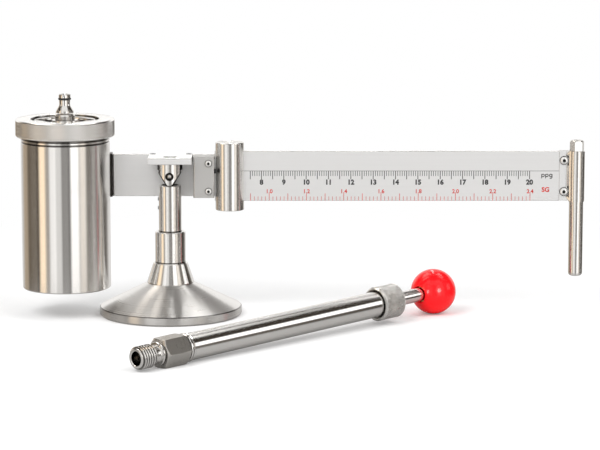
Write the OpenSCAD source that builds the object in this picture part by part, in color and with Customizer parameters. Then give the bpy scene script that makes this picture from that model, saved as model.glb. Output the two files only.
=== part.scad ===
// Pressurised liquid density balance on its stand, with the hand pump that fills it.
// Frame: origin at the centre of the stand's foot on the table, +X along the
// graduated beam, +Y away from the reader, +Z up. Lengths are in millimetres.

/* [Stand] */
// Radius of the round foot
base_r = 61.3; // [56:0.1:66]
// Height of the foot's upright rim
base_rim_h = 8; // [6:0.1:10]
// Height of the foot where the collar sits
base_top_z = 27.9; // [25:0.1:30]
// Radius of the collar's lower edge
collar_low_r = 20.3; // [18:0.1:23]
// Radius of the collar's upper edge
collar_top_r = 15; // [14:0.1:16.5]
// Height of the collar's upper edge
collar_top_z = 45.6; // [42:0.1:50]
// Radius of the lower post
lower_post_r = 13.2; // [12.5:0.1:13.8]
// Height of the lower post's top
lower_post_top_z = 72.5; // [66:0.1:80]
// Radius of the upper post
upper_post_r = 9.8; // [9:0.1:10.2]
// Height of the upper post above the lower post
upper_post_h = 40; // [38:0.1:42]

// Chamfer on turned and milled edges, also the overrun of cuts
edge = 0.8; // [0.6:0.05:0.9]

/* [Fulcrum] */
// Depth below the upper post's rim of the knife edge, the axis on which the balance rocks
knife_sink = 1.9; // [1.6:0.1:2.2]
// Half length of the knife edge
knife_half = 6.4; // [5:0.1:6.6]
// Radius that the knife edge is honed to, about the rocking axis
knife_tip_r = 0.3; // [0.2:0.05:0.4]
// Slope of the knife's ground faces from the vertical
knife_flank_a = 48; // [46:1:50]
// Half width of the knife where its ground faces end
knife_low_half = 3.2; // [2.8:0.1:3.4]
// Half width of the top of the knife's wedge
knife_wide_half = 9.8; // [9.4:0.1:10]
// Height of the notch between the wedge and the knife's round head
knife_notch_h = 2.3; // [1.6:0.1:2.8]
// Height from the underside of that head to the level block
knife_head_h = 5.3; // [4.6:0.1:6]
// Radius of the round plug that carries the V seat
seat_r = 7.2; // [6.8:0.1:7.6]
// Length of that plug
seat_len = 24; // [20:0.5:28]
// Gap between the knife edge and the sides of the V
knife_gap = 0.1; // [0.05:0.01:0.2]
// Radius of the stub that holds the knife
stub_r = 11; // [10.5:0.1:11.3]
// Half width of the stub across its milled sides
stub_half = 8.6; // [8.2:0.1:8.8]
// Height of the stub's upright sides
stub_side_h = 8.1; // [7:0.1:9]
// Gap between the post's rim and the stub's lower tip
stub_gap = 0.8; // [0.7:0.1:1.2]
// Half width of the stub's lower tip
stub_tip_half = 1.6; // [1.4:0.1:2]

/* [Arm and level] */
// Rise of the arm's top edge above the knife edge
arm_rise = 26.7; // [26:0.1:28]
// Height of the arm
arm_h = 36.3; // [35:0.1:38]
// Front face of the arm
arm_front_y = 12; // [11.5:0.1:12.5]
// Thickness of the arm
arm_t = 6; // [5:0.1:7]
// Gap between the cup's side and the arm, which the saddle bridges
saddle_gap = 1.2; // [0.8:0.1:1.8]
// Right end of the arm, behind the joint block
arm_right_x = 38; // [37:0.1:38.2]
// Length of the level block
level_len = 37.4; // [36:0.1:38]
// Thickness of the level block
level_t = 5.9; // [5.4:0.1:6.4]
// Radius of the level's glass vial
vial_r = 2.5; // [2.3:0.1:2.6]
// Length of the vial
vial_len = 11.4; // [10:0.1:12]

/* [Joint block] */
// Left edge of the joint block
joint_left_x = 20; // [19.6:0.1:20.6]
// Front face of the joint block
joint_front_y = -3; // [-3.5:0.1:-2.5]
// Height of the joint block
joint_h = 35.5; // [34:0.1:36]
// Radius of the joint screws' heads
joint_head_r = 3.1; // [2.8:0.1:3.4]
// Radius of the joint screws' shanks
joint_shank_r = 1.9; // [1.7:0.1:2]

/* [Graduated beam] */
// Front face of the beam, where the scale is
beam_front_y = 4; // [3.8:0.1:4.4]
// Thickness of the beam
beam_t = 6; // [5.6:0.1:6.2]
// Height of the beam
beam_h = 43; // [42:0.1:44]
// Rise of the beam's upper edge above the arm's
beam_rise = 3.9; // [3.4:0.1:4.4]
// Distance from the end of the beam's face to the shot tube's axis
bracket_len = 15; // [14.6:0.1:16]
// Radius of the end screws' heads
end_head_r = 3.8; // [3.4:0.1:4]
// Radius of the end screws' shanks
end_shank_r = 2.1; // [1.9:0.1:2.3]

/* [Shot tube] */
// Axis of the shot tube along the beam
tube_x = 350; // [349.8:0.1:350.4]
// Outer radius of the shot tube
tube_r = 6.2; // [6:0.1:6.4]
// Bore radius of the shot tube
tube_bore_r = 4.7; // [4.4:0.1:4.9]
// Height of the tube's rounded foot
tube_low_z = 32.3; // [30:0.1:40]
// Outer radius of the sleeve around the tube
sleeve_r = 7; // [6.8:0.1:7.2]
// Radius of the hollow fillets between the sleeve and the bracket
fillet_r = 7; // [6:0.5:8]
// Corner radius of the hexagonal cap
shot_cap_r = 6.3; // [6:0.1:6.6]
// Rise of the cap's top above the beam
shot_cap_rise = 9.2; // [8:0.1:11]
// Room around the cap's corners in the end bracket
cap_room = 0.4; // [0.3:0.05:0.6]
// Free height between the lead shot and the cap's plug
shot_air_h = 3.4; // [1:0.1:30]

/* [Rider] */
// Axis of the rider at its zero position
rider_x = 51.2; // [51.1:0.1:51.6]
// Radius of the rider
rider_r = 12.4; // [12:0.1:12.4]
// Length of the rider below the beam
rider_below = 8; // [7.6:0.1:8.6]
// Length of the rider above the beam
rider_above = 7.5; // [6.8:0.1:8.8]
// Gap between the rider's slot and the beam
rider_gap = 0.3; // [0.2:0.05:0.3]

/* [Cup] */
// Axis of the cup along the beam
cup_x = -89.6; // [-89.8:0.1:-89.4]
// Outer radius of the cup
cup_r = 38.1; // [38:0.05:38.2]
// Wall of the cup around the sample chamber
cup_wall = 5.1; // [4.7:0.1:5.5]
// Height of the cup's underside
cup_low_z = 23.7; // [23.4:0.1:25]
// Height of the chamber's floor
chamber_low_z = 59.3; // [50:0.1:64]
// Rise of the cup's rim above the arm
cup_rise = 22.7; // [21:0.1:25]
// Height of the neck with the two grooves
neck_h = 5.3; // [4.6:0.1:6]
// Depth of the two grooves below the cap ring
neck_groove = 0.7; // [0.5:0.1:1]

/* [Cap] */
// Wall of the cap ring around the cup's rim
ring_wall = 4.4; // [3.9:0.1:5.4]
// Reach of the cap ring below the cup's rim
ring_below = 4.9; // [4.4:0.1:5.4]
// Rise of the cap ring's top above the cup's rim
ring_above = 10.2; // [9.8:0.1:10.8]
// Width of the ring's lip, inwards from the cup's side
ring_lip = 8.8; // [8.1:0.1:9.3]
// Gap between the lip and the lid's raised centre
boss_gap = 3.1; // [2.5:0.1:3.5]
// Rise of the lid's top above the cup's rim
lid_rise = 9; // [8.6:0.1:9.4]
// Radius of each spanner pocket in the lid
pocket_r = 7.1; // [6.6:0.1:7.3]
// Rim left outside each pocket
pocket_rim = 1.1; // [0.8:0.1:1.5]
// Depth of the pockets
pocket_d = 5.6; // [4.8:0.1:6.4]
// Radius of the round trough's section around the valve
trough_r = 4.4; // [4:0.1:4.6]
// Clearance of the turning and sliding fits, on the radius
fit_gap = 0.08; // [0.05:0.01:0.1]

/* [Check valve] */
// Radius of the housing's flange
housing_r = 8.65; // [8.2:0.05:9]
// Rise of the housing's top above the lid
housing_rise = 5.4; // [5:0.1:6]
// Radius of the stem in the housing
stem_r = 3.5; // [3.2:0.1:3.7]
// Radius of the stem's flare
flare_r = 7.65; // [7.2:0.05:8]
// Radius of the stem's neck
stem_neck_r = 4.9; // [4.7:0.05:5]
// Height of the stem's crown above the housing
crown_rise = 16.6; // [15.6:0.1:17.6]
// Outer radius of the stem's sealing ring
stem_ring_r = 5.6; // [5.5:0.05:5.65]
// Travel of the stem from open to closed
stem_travel = 4; // [3:0.1:4]

/* [Pump] */
// Ground position of the nose, along the beam
pump_x = -16.5; // [-20:0.1:-10]
// Ground position of the nose, in front of the stand
pump_y = -243; // [-250:0.1:-236]
// Heading of the pump on the table, from +X towards +Y
pump_heading = 45; // [40:0.1:50]
// Radius of the nose's screw thread
thread_r = 9.4; // [9:0.1:9.8]
// Length of the thread
thread_len = 15.6; // [14:0.1:17]
// Pitch of the thread
thread_pitch = 2.4; // [2:0.1:2.6]
// Radius of the nose's bore
nose_bore_r = 5.7; // [5.7:0.05:6]
// Start of the hexagon along the pump
hex_s = 24; // [23:0.1:25]
// Length of the hexagon
hex_len = 25; // [23:0.1:27]
// Width of the hexagon across its flats
hex_af = 23; // [22.4:0.1:24]
// Radius of the barrel
barrel_r = 11; // [10.8:0.1:11.2]
// Bore radius of the barrel
barrel_bore_r = 8.5; // [8.2:0.1:8.8]
// Length of the two beads between the hexagon and the barrel
bead_len = 5.5; // [4:0.1:8]
// Length of the barrel in view, up to the knurled nut
barrel_len = 216.9; // [180:0.1:240]
// Length of the knurled nut
nut_len = 24.2; // [22:0.1:26]
// Radius of the knurled nut
nut_r = 14.5; // [14:0.1:15]
// Radius of the plunger rod
rod_r = 5.95; // [5.8:0.05:6]
// Radius of the ball
ball_r = 19.5; // [19:0.1:20]
// Distance from the nut's end to the ball's centre
ball_reach = 48.9; // [40:0.1:56]

/* [Hidden] */
// Heights, each from the piece below it
post_top_z = lower_post_top_z + upper_post_h;
knife_z = post_top_z - knife_sink;
arm_top_z = knife_z + arm_rise;
arm_low_z = arm_top_z - arm_h;
level_low_z = arm_top_z - level_t;
joint_top_z = arm_top_z - edge * 0.25;
joint_low_z = joint_top_z - joint_h;
beam_top_z = arm_top_z + beam_rise;
beam_low_z = beam_top_z - beam_h;
shot_cap_top_z = beam_top_z + shot_cap_rise;
rider_low_z = beam_low_z - rider_below;
rider_top_z = beam_top_z + rider_above;
cup_rim_z = arm_top_z + cup_rise;
ring_low_z = cup_rim_z - ring_below;
ring_top_z = cup_rim_z + ring_above;
lid_top_z = cup_rim_z + lid_rise;
housing_top_z = lid_top_z + housing_rise;
// Stand and seat
post_spigot_z = base_top_z * 0.45;
upper_spigot_z = lower_post_top_z - lower_post_r * 0.9;
seat_top_z = post_top_z - edge * 0.6;
seat_low_z = seat_top_z - seat_len;
seat_screw_r = upper_post_r * 0.16;
seat_screw_z = [post_top_z - seat_len * 0.5, post_top_z - seat_len * 0.82];
// Slope of the V's sides from level
seat_v_a = 31;
seat_v_low_z = knife_z - (knife_tip_r + knife_gap) / cos(seat_v_a);
seat_v_d = seat_top_z - seat_v_low_z;
// Stub, knife and pin
stub_slope_z = level_low_z - stub_side_h;
stub_tip_z = post_top_z + stub_gap;
pin_r = stub_r * 0.2;
pin_z = stub_slope_z - stub_r * 0.21;
pin_hole_r = pin_r * 1.65;
stub_web = edge * 0.7;
knife_head_top_z = level_low_z - stub_web;
knife_head_z = level_low_z - knife_head_h;
knife_wide_z = knife_head_z - knife_notch_h;
knife_head_half = stub_r - stub_web * 0.2;
knife_notch_half = knife_wide_half - edge * 0.7;
knife_tip_z = knife_z - knife_tip_r * sin(knife_flank_a);
knife_tip_half = knife_tip_r * cos(knife_flank_a);
knife_low_z = knife_z + (knife_low_half * cos(knife_flank_a) - knife_tip_r) / sin(knife_flank_a);
// Arm, joint block and level
arm_left_x = cup_x + cup_r + saddle_gap;
arm_back_y = arm_front_y + arm_t;
beam_back_y = beam_front_y + beam_t;
beam_mid_y = beam_front_y + beam_t / 2;
beam_mid_z = (beam_low_z + beam_top_z) / 2;
joint_right_x = arm_right_x;
joint_depth = arm_front_y - joint_front_y;
joint_screw_x = joint_right_x - joint_depth * 0.32;
joint_screw_dz = joint_h * 0.34;
joint_mid_z = (joint_low_z + joint_top_z) / 2;
tongue_h = joint_h * 0.87;
tongue_x = joint_left_x + joint_depth * 0.13;
stud_r = joint_depth * 0.135;
stud_len = joint_depth * 0.2;
stud_y = joint_front_y + stud_r;
stud_z = joint_mid_z + joint_h * 0.15;
level_x = level_len * 0.008;
level_front_y = -arm_front_y;
level_mid_y = level_front_y + arm_front_y * 0.8;
scoop_d = edge * 0.75;
scoop_r = (vial_len * vial_len / 4 + scoop_d * scoop_d) / (scoop_d * 2);
level_screw_dx = level_len * 0.415;
level_screw_r = arm_t * 0.3;
vial_z = arm_top_z - vial_r * 1.1;
// Beam end and shot tube
beam_right_x = tube_x - bracket_len;
end_screw_x = beam_right_x + beam_h * 0.092;
end_screw_dz = beam_h * 0.314;
end_tongue_x = beam_right_x + beam_h * 0.17;
end_tongue_t = beam_t * 0.4;
bracket_top_z = beam_top_z + edge * 0.3;
// Fillets: axes off the beam's middle, their start, and the half width left at the sleeve
fillet_dy = fillet_r + beam_t / 2;
fillet_x = tube_x - sqrt((fillet_r + sleeve_r) * (fillet_r + sleeve_r) - fillet_dy * fillet_dy);
fillet_half = sleeve_r * fillet_dy / (fillet_r + sleeve_r) * 0.97;
sleeve_top_z = beam_top_z - beam_t * 0.05;
sleeve_low_z = beam_low_z - beam_t * 0.12;
cap_washer_t = tube_r * 0.06;
cap_slack = tube_r * 0.008;
shot_floor_z = tube_low_z + tube_r * 0.7;
shot_cap_z = sleeve_top_z + cap_slack * 2 + cap_washer_t;
shot_plug_z = shot_cap_z - tube_r * 1.5;
// Rider
rider_bore_r = rider_r * 0.18;
rider_slot_low_z = beam_low_z - rider_gap;
rider_ball_r = rider_bore_r * 0.92;
rider_ball_z = beam_low_z - rider_ball_r - rider_gap * 0.3;
rider_screw_h = rider_bore_r * 0.9;
// Cup and cap
chamber_r = cup_r - cup_wall;
ring_r = cup_r + ring_wall;
ring_open_r = cup_r - ring_lip;
lid_boss_r = ring_open_r - boss_gap;
pocket_x = lid_boss_r - pocket_r - pocket_rim;
neck_z = ring_low_z - neck_h;
neck_step = (ring_low_z - neck_z) * 0.25;
floor_t = (cup_r - chamber_r) * 1.2;
ring_wall_z = ring_top_z - (ring_top_z - ring_low_z) * 0.42;
slip_t = (ring_top_z - ring_low_z) * 0.033;
slip_slack = fit_gap * 0.6;
lid_flange_top_z = ring_wall_z - slip_t - 2 * slip_slack;
lid_low_z = cup_rim_z - (ring_top_z - ring_low_z) * 0.73;
lid_seal_z = cup_rim_z - (ring_top_z - ring_low_z) * 0.32;
lid_seal_r = chamber_r * 0.03;
trough_mid_r = lid_boss_r * 0.6;
lid_dish = edge * 1.9;
// Check valve, down in its open place
crown_top_z = housing_top_z + crown_rise;
housing_tube_r = housing_r * 0.7;
housing_seal_t = housing_r * 0.035;
housing_low_z = lid_low_z + stem_r * 0.17;
valve_seal_t = stem_r * 0.57;
valve_seal_top_z = housing_low_z - stem_travel - fit_gap * 4;
stem_nut_h = stem_r * 0.63;
stem_low_z = valve_seal_top_z - valve_seal_t - stem_nut_h;
flare_low_z = housing_top_z + stem_r * 0.23;
crown_h = (crown_top_z - flare_low_z) * 0.19;
o_ring_t = stem_r * 0.5;
o_ring_z = crown_top_z - crown_h - o_ring_t * 0.55;
// Pump: places along it; it rests on the hexagon and on the ball
bead_s = hex_s + hex_len;
barrel_s = bead_s + bead_len;
nut_s = barrel_s + barrel_len;
ball_s = nut_s + nut_len + ball_reach;
pump_rise = asin((ball_r - hex_af / 2) / (ball_s - hex_s));
pump_z = hex_af / 2 - hex_s * sin(pump_rise);
barrel_end_s = nut_s + nut_len * 0.52;
spigot_len = barrel_r * 0.9;
thread_turns = floor(thread_len / thread_pitch);
thread_root_r = thread_r * 0.87;
// Places of one thread ring's four corners along one pitch
thread_shares = [0.06, 0.32, 0.6, 0.86];
// Half profile of the threaded nose: parallel rings stand for the turns
thread_profile = [for (i = [0 : thread_turns - 1], k = [0 : 3])
    [k == 0 || k == 3 ? thread_root_r : thread_r,
     thread_pitch * (0.35 + i + thread_shares[k])]];
bead_r = barrel_r * 1.07;
piston_s = barrel_s + spigot_len + barrel_r * 0.5;
piston_len = barrel_r * 1.3;
piston_r = barrel_bore_r - fit_gap;
gland_s = barrel_end_s - nut_len * 0.4;
nose_groove_r = barrel_bore_r - spigot_len * 0.15;
ball_neck_r = rod_r * 1.2;
ball_face_s = ball_s - sqrt(ball_r * ball_r - ball_neck_r * ball_neck_r);
ball_socket_s = ball_s - ball_r * 0.2;
nut_lip = nut_r * 0.1;
seal_len = nut_len * 0.16;
stud_s = piston_s + piston_len * 0.8;
knob_thread_r = rod_r * 0.7;
groove_w = piston_len * 0.16;
groove_s = [piston_s + piston_len * 0.22, piston_s + piston_len * 0.62];
insert_r = rod_r * 1.08;

// A turned piece about +Z from a half profile of [radius, height] points.
module turned(profile) rotate_extrude($fn = 96) polygon(profile);

// A plain round bar along +Z.
module bar(r, h) cylinder(r = r, h = h, $fn = 96);

// A round bar along +Y that starts at the given point.
module bar_y(p, r, h) translate(p) rotate([-90, 0, 0]) bar(r, h);

// A box between two corners.
module block(a, b) translate(a) cube(b - a);

// A ring of round section about +Z.
module o_ring(r_out, t) rotate_extrude($fn = 96)
    translate([r_out - t / 2, 0]) circle(r = t / 2, $fn = 32);

// Turns a piece built along +Z to lie on the table as the pump does.
module on_pump(s = 0)
    translate([pump_x, pump_y, pump_z]) rotate([0, 0, pump_heading])
        rotate([0, 90 - pump_rise, 0]) translate([0, 0, s]) children();

module at_cup() translate([cup_x, 0, 0]) children();
module at_rider() translate([rider_x, beam_mid_y, 0]) children();
module at_tube() translate([tube_x, beam_mid_y, 0]) children();

// A button-head screw whose head stands on the plane z = 0 and whose shank points to -Z.
module button_screw(head_r, head_h, shank_r, shank_len) difference() {
    union() {
        turned([[0, 0], [head_r, 0], [head_r, head_h * 0.35],
                [head_r * 0.86, head_h * 0.75], [head_r * 0.62, head_h], [0, head_h]]);
        translate([0, 0, -shank_len]) bar(shank_r, shank_len + head_h * 0.3);
    }
    translate([0, 0, head_h * 0.4]) cylinder(r = head_r * 0.46, h = head_h, $fn = 6);
}

// The same screw driven in from the front, along +Y.
module front_screw(p, head_r, head_h, shank_r, shank_len)
    translate(p) rotate([90, 0, 0]) button_screw(head_r, head_h, shank_r, shank_len);

/* Stand */

module stand_base() color("#b9bab8") difference() {
    turned([[0, 0], [base_r - edge * 2, 0], [base_r - edge, edge],
            [base_r, edge * 2], [base_r, base_rim_h - edge],
            [base_r - edge, base_rim_h], [collar_low_r, base_top_z], [0, base_top_z]]);
    translate([0, 0, post_spigot_z]) bar(lower_post_r, base_top_z);
}

module base_collar() color("#c9cac8") difference() {
    turned([[0, base_top_z], [collar_low_r, base_top_z],
            [collar_low_r, base_top_z + edge], [collar_top_r, collar_top_z - edge],
            [collar_top_r - edge * 0.6, collar_top_z], [0, collar_top_z]]);
    translate([0, 0, base_top_z - edge]) bar(lower_post_r, collar_top_z);
}

module lower_post() color("#b4b5b3") difference() {
    turned([[0, post_spigot_z], [lower_post_r, post_spigot_z],
            [lower_post_r, lower_post_top_z - edge],
            [lower_post_r - edge, lower_post_top_z], [0, lower_post_top_z]]);
    translate([0, 0, upper_spigot_z]) bar(upper_post_r, lower_post_top_z);
}

module upper_post() color("#b8b2a8") difference() {
    turned([[0, upper_spigot_z], [upper_post_r, upper_spigot_z],
            [upper_post_r, post_top_z - edge * 0.6],
            [upper_post_r - edge * 0.6, post_top_z], [0, post_top_z]]);
    translate([0, 0, seat_low_z]) bar(seat_r, seat_len * 2);
    for (z = seat_screw_z)
        translate([-upper_post_r * 1.5, 0, z]) rotate([0, 90, 0]) bar(seat_screw_r, upper_post_r);
}

module fulcrum_seat() color("#8e8f90") difference() {
    translate([0, 0, seat_low_z]) bar(seat_r, seat_len);
    translate([0, seat_r * 1.2, seat_v_low_z]) rotate([90, 0, 0])
        linear_extrude(height = seat_r * 2.4)
            polygon([[0, 0], [seat_v_d * 3, seat_v_d * 3 * tan(seat_v_a)],
                     [-seat_v_d * 3, seat_v_d * 3 * tan(seat_v_a)]]);
}

module seat_screws() color("#3c3d3f") for (z = seat_screw_z)
    translate([-upper_post_r - seat_screw_r * 0.45, 0, z]) rotate([0, 90, 0]) difference() {
        bar(seat_screw_r, upper_post_r + seat_screw_r * 0.45 - seat_r);
        cylinder(r = seat_screw_r * 0.5, h = seat_screw_r * 1.4, center = true, $fn = 6);
    }

/* Fulcrum on the balance */

// The knife without its honed edge, also the slot that takes it.
module knife_slab() translate([0, knife_half, 0]) rotate([90, 0, 0])
    linear_extrude(height = knife_half * 2)
        polygon([[-knife_tip_half, knife_tip_z], [knife_tip_half, knife_tip_z],
                 [knife_low_half, knife_low_z], [knife_wide_half, knife_wide_z],
                 [knife_notch_half, knife_wide_z + edge * 0.5], [knife_notch_half, knife_head_z],
                 [stub_r * 1.1, knife_head_z], [stub_r * 1.1, knife_head_top_z],
                 [-stub_r * 1.1, knife_head_top_z], [-stub_r * 1.1, knife_head_z],
                 [-knife_notch_half, knife_head_z], [-knife_notch_half, knife_wide_z + edge * 0.5],
                 [-knife_wide_half, knife_wide_z], [-knife_low_half, knife_low_z]]);

// Two cheeks, in front of the knife and behind it, under a thin round web.
module knife_stub() color("#c3beb5") difference() {
    union() {
        translate([0, 0, knife_head_top_z]) bar(stub_r, stub_web);
        intersection() {
            translate([0, 0, stub_tip_z]) bar(stub_r, level_low_z - stub_tip_z);
            translate([0, stub_r * 1.2, 0]) rotate([90, 0, 0])
                linear_extrude(height = stub_r * 2.4)
                    polygon([[stub_tip_half, stub_tip_z], [stub_half, stub_slope_z],
                             [stub_half, level_low_z], [-stub_half, level_low_z],
                             [-stub_half, stub_slope_z], [-stub_tip_half, stub_tip_z]]);
        }
    }
    knife_slab();
    bar_y([0, 0, pin_z], pin_r, stub_r * 1.1);
    bar_y([0, -stub_r * 1.1, pin_z], pin_hole_r, stub_r * 1.1);
}

module knife_edge() color("#1d1e20") difference() {
    union() {
        intersection() {
            knife_slab();
            translate([0, 0, knife_tip_z - edge]) bar(knife_head_half, stub_r * 3);
        }
        bar_y([0, -knife_half, knife_z], knife_tip_r, knife_half * 2);
    }
    bar_y([0, -stub_r, pin_z], pin_r, stub_r * 2);
}

// Cross pin with a domed end, sunk in the front cheek.
module knife_pin() color("#d9dadb") union() {
    bar_y([0, -stub_r * 0.74, pin_z], pin_r, stub_r * 1.58);
    translate([0, -stub_r * 0.74, pin_z]) sphere(r = pin_r, $fn = 48);
}

/* Arm, level and joint block */

module level_block() color("#d4d5d6") difference() {
    translate([level_x - level_len / 2, 0, 0]) rotate([90, 0, 90])
        linear_extrude(height = level_len)
            polygon([[level_front_y, level_low_z + edge * 0.4],
                     [level_front_y + edge * 0.4, level_low_z], [arm_back_y, level_low_z],
                     [arm_back_y, arm_top_z], [level_front_y + edge, arm_top_z],
                     [level_front_y, arm_top_z - edge]]);
    // window over the vial, with a shallow scoop to the front edge
    block([level_x - vial_len / 2, level_mid_y - vial_r * 1.2, vial_z - vial_r],
          [level_x + vial_len / 2, level_mid_y + vial_r * 1.2, arm_top_z + edge]);
    bar_y([level_x, level_front_y - edge, arm_top_z + scoop_r - scoop_d], scoop_r,
          level_mid_y - level_front_y + edge);
    for (s = [-1, 1]) translate([level_x + s * level_screw_dx, arm_front_y + arm_t / 2, 0]) {
        translate([0, 0, arm_low_z]) bar(level_screw_r, arm_h * 2);
        translate([0, 0, arm_top_z - level_screw_r * 0.5]) bar(level_screw_r * 1.4, arm_h);
    }
}

module level_vial() color("#dfeee6") difference() {
    translate([level_x - vial_len / 2, level_mid_y, vial_z]) rotate([0, 90, 0])
        bar(vial_r, vial_len);
    translate([level_x - vial_len * 0.42, level_mid_y, vial_z]) rotate([0, 90, 0])
        bar(vial_r * 0.78, vial_len * 0.84);
}

// The liquid fills the vial apart from a bubble under the top of the glass.
module level_liquid() color("#c9e36b") difference() {
    translate([level_x - vial_len * 0.42, level_mid_y, vial_z]) rotate([0, 90, 0])
        bar(vial_r * 0.78, vial_len * 0.84);
    translate([level_x - vial_len * 0.16, level_mid_y, vial_z + vial_r * 0.62])
        rotate([0, 90, 0]) bar(vial_r * 0.4, vial_len * 0.32);
}

module level_screws() color("#6d6f72") for (s = [-1, 1])
    translate([level_x + s * level_screw_dx, arm_front_y + arm_t / 2, 0]) difference() {
        union() {
            translate([0, 0, arm_top_z - level_screw_r * 0.5])
                bar(level_screw_r * 1.4, level_screw_r * 0.8);
            translate([0, 0, level_low_z - level_t]) bar(level_screw_r, level_t * 1.9);
        }
        translate([0, 0, arm_top_z - level_screw_r * 0.2])
            cylinder(r = level_screw_r * 0.8, h = level_screw_r * 2, $fn = 6);
    }

module arm() color("#c6c7c8") difference() {
    translate([0, 0, arm_low_z]) linear_extrude(height = arm_h)
        polygon([[arm_left_x, arm_back_y], [arm_left_x, arm_front_y + edge * 1.6],
                 [arm_left_x + edge * 1.6, arm_front_y], [arm_right_x, arm_front_y],
                 [arm_right_x, arm_back_y]]);
    block([level_x - level_len / 2, arm_front_y - edge, level_low_z],
          [level_x + level_len / 2, arm_back_y + edge, arm_top_z + edge]);
    for (s = [-1, 1]) {
        translate([level_x + s * level_screw_dx, arm_front_y + arm_t / 2, level_low_z - level_t])
            bar(level_screw_r, arm_h);
        bar_y([joint_screw_x, arm_front_y - edge, joint_mid_z + s * joint_screw_dz],
              joint_shank_r, arm_t * 0.7 + edge);
    }
}

// Block with a hollow face brazed to the cup; the arm is brazed to its flat face.
module arm_saddle() color("#1f1d1b") difference() {
    block([cup_x + cup_r * 0.75, arm_front_y - arm_t * 0.3, arm_low_z - edge * 0.5],
          [arm_left_x, arm_back_y + arm_t * 0.4, arm_top_z + edge * 1.4]);
    at_cup() translate([0, 0, arm_low_z - arm_h]) bar(cup_r, arm_h * 3);
}

module joint_block() color("#c4c5c6") difference() {
    translate([0, 0, joint_low_z]) linear_extrude(height = joint_h)
        polygon([[joint_left_x, arm_front_y], [joint_left_x, joint_front_y + edge * 1.6],
                 [joint_left_x + edge * 1.6, joint_front_y],
                 [joint_right_x - edge * 0.5, joint_front_y],
                 [joint_right_x, joint_front_y + edge * 0.5], [joint_right_x, arm_front_y]]);
    block([tongue_x, beam_front_y, joint_mid_z - tongue_h / 2],
          [joint_right_x + edge, beam_back_y, joint_mid_z + tongue_h / 2]);
    for (s = [-1, 1])
        bar_y([joint_screw_x, joint_front_y - edge, joint_mid_z + s * joint_screw_dz],
              joint_shank_r, joint_depth * 2);
    translate([joint_right_x - stud_len, stud_y, stud_z]) rotate([0, 90, 0])
        bar(stud_r * 0.6, stud_len * 2);
}

module joint_screws() color("#b7b8ba") for (s = [-1, 1])
    front_screw([joint_screw_x, joint_front_y, joint_mid_z + s * joint_screw_dz],
                joint_head_r, joint_head_r * 0.6, joint_shank_r, joint_depth + arm_t * 0.7);

// Rubber stud that the rider stops against.
module stop_stud() color("#1c1c1d")
    translate([joint_right_x, stud_y, stud_z]) rotate([0, 90, 0]) union() {
        bar(stud_r, stud_len * 0.6);
        translate([0, 0, -stud_len]) bar(stud_r * 0.6, stud_len * 1.2);
    }

/* Graduated beam and shot tube */

module graduated_beam() color("#d7d8d9") difference() {
    union() {
        block([joint_right_x + edge * 0.5, beam_front_y, beam_low_z],
              [beam_right_x, beam_back_y, beam_top_z]);
        block([tongue_x, beam_front_y, joint_mid_z - tongue_h / 2],
              [joint_right_x + edge, beam_back_y, joint_mid_z + tongue_h / 2]);
        block([beam_right_x - edge, beam_mid_y - end_tongue_t / 2, beam_low_z],
              [end_tongue_x, beam_mid_y + end_tongue_t / 2, beam_top_z]);
    }
    for (s = [-1, 1]) {
        bar_y([joint_screw_x, 0, joint_mid_z + s * joint_screw_dz], joint_shank_r, beam_back_y * 2);
        bar_y([end_screw_x, 0, beam_mid_z + s * end_screw_dz], end_shank_r, beam_back_y * 2);
    }
}

// Bracket in one piece with the sleeve: level with the beam's face, then hollow up to the sleeve.
module end_bracket() color("#c0c1c2") difference() {
    union() {
        block([beam_right_x, beam_front_y, beam_low_z], [fillet_x, beam_back_y, bracket_top_z]);
        difference() {
            block([fillet_x, beam_mid_y - fillet_half, beam_low_z],
                  [tube_x, beam_mid_y + fillet_half, bracket_top_z]);
            for (y = [beam_mid_y - fillet_dy, beam_mid_y + fillet_dy])
                translate([fillet_x, y, beam_low_z - beam_h]) bar(fillet_r, beam_h * 3);
        }
        at_tube() translate([0, 0, sleeve_low_z]) bar(sleeve_r, sleeve_top_z - sleeve_low_z);
    }
    at_tube() translate([0, 0, beam_low_z - beam_h]) bar(tube_r, beam_h * 3);
    // room for the cap to turn
    at_tube() translate([0, 0, sleeve_top_z]) bar(shot_cap_r + cap_room, beam_h);
    // slot for the beam's tongue
    block([beam_right_x - edge, beam_mid_y - end_tongue_t / 2, beam_low_z - edge],
          [end_tongue_x, beam_mid_y + end_tongue_t / 2, bracket_top_z + edge]);
    for (s = [-1, 1]) {
        bar_y([end_screw_x, beam_front_y - edge, beam_mid_z + s * end_screw_dz],
              end_shank_r, beam_t * 0.8 + edge);
        // flat seat for the screw's head
        bar_y([end_screw_x, beam_front_y - beam_t, beam_mid_z + s * end_screw_dz],
              end_head_r + cap_room, beam_t);
    }
}

module end_screws() color("#b2b3b5") for (s = [-1, 1])
    front_screw([end_screw_x, beam_front_y, beam_mid_z + s * end_screw_dz],
                end_head_r, end_head_r * 0.55, end_shank_r, beam_t * 0.8);

module shot_tube() color("#c8c9ca") at_tube() difference() {
    turned([[0, tube_low_z], [tube_r * 0.55, tube_low_z], [tube_r * 0.83, tube_low_z + tube_r * 0.1],
            [tube_r * 0.96, tube_low_z + tube_r * 0.28], [tube_r, tube_low_z + tube_r * 0.5],
            [tube_r, sleeve_top_z], [0, sleeve_top_z]]);
    translate([0, 0, shot_floor_z]) bar(tube_bore_r, sleeve_top_z);
}

module lead_shot() color("#5a5c60") at_tube()
    translate([0, 0, shot_floor_z])
        bar(tube_bore_r - cap_slack, shot_plug_z - shot_air_h - shot_floor_z);

module cap_washer() color("#9a9b9d") at_tube()
    translate([0, 0, sleeve_top_z + cap_slack]) difference() {
        bar(tube_r, cap_washer_t);
        translate([0, 0, -cap_washer_t]) bar(tube_bore_r, cap_washer_t * 3);
    }

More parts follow.
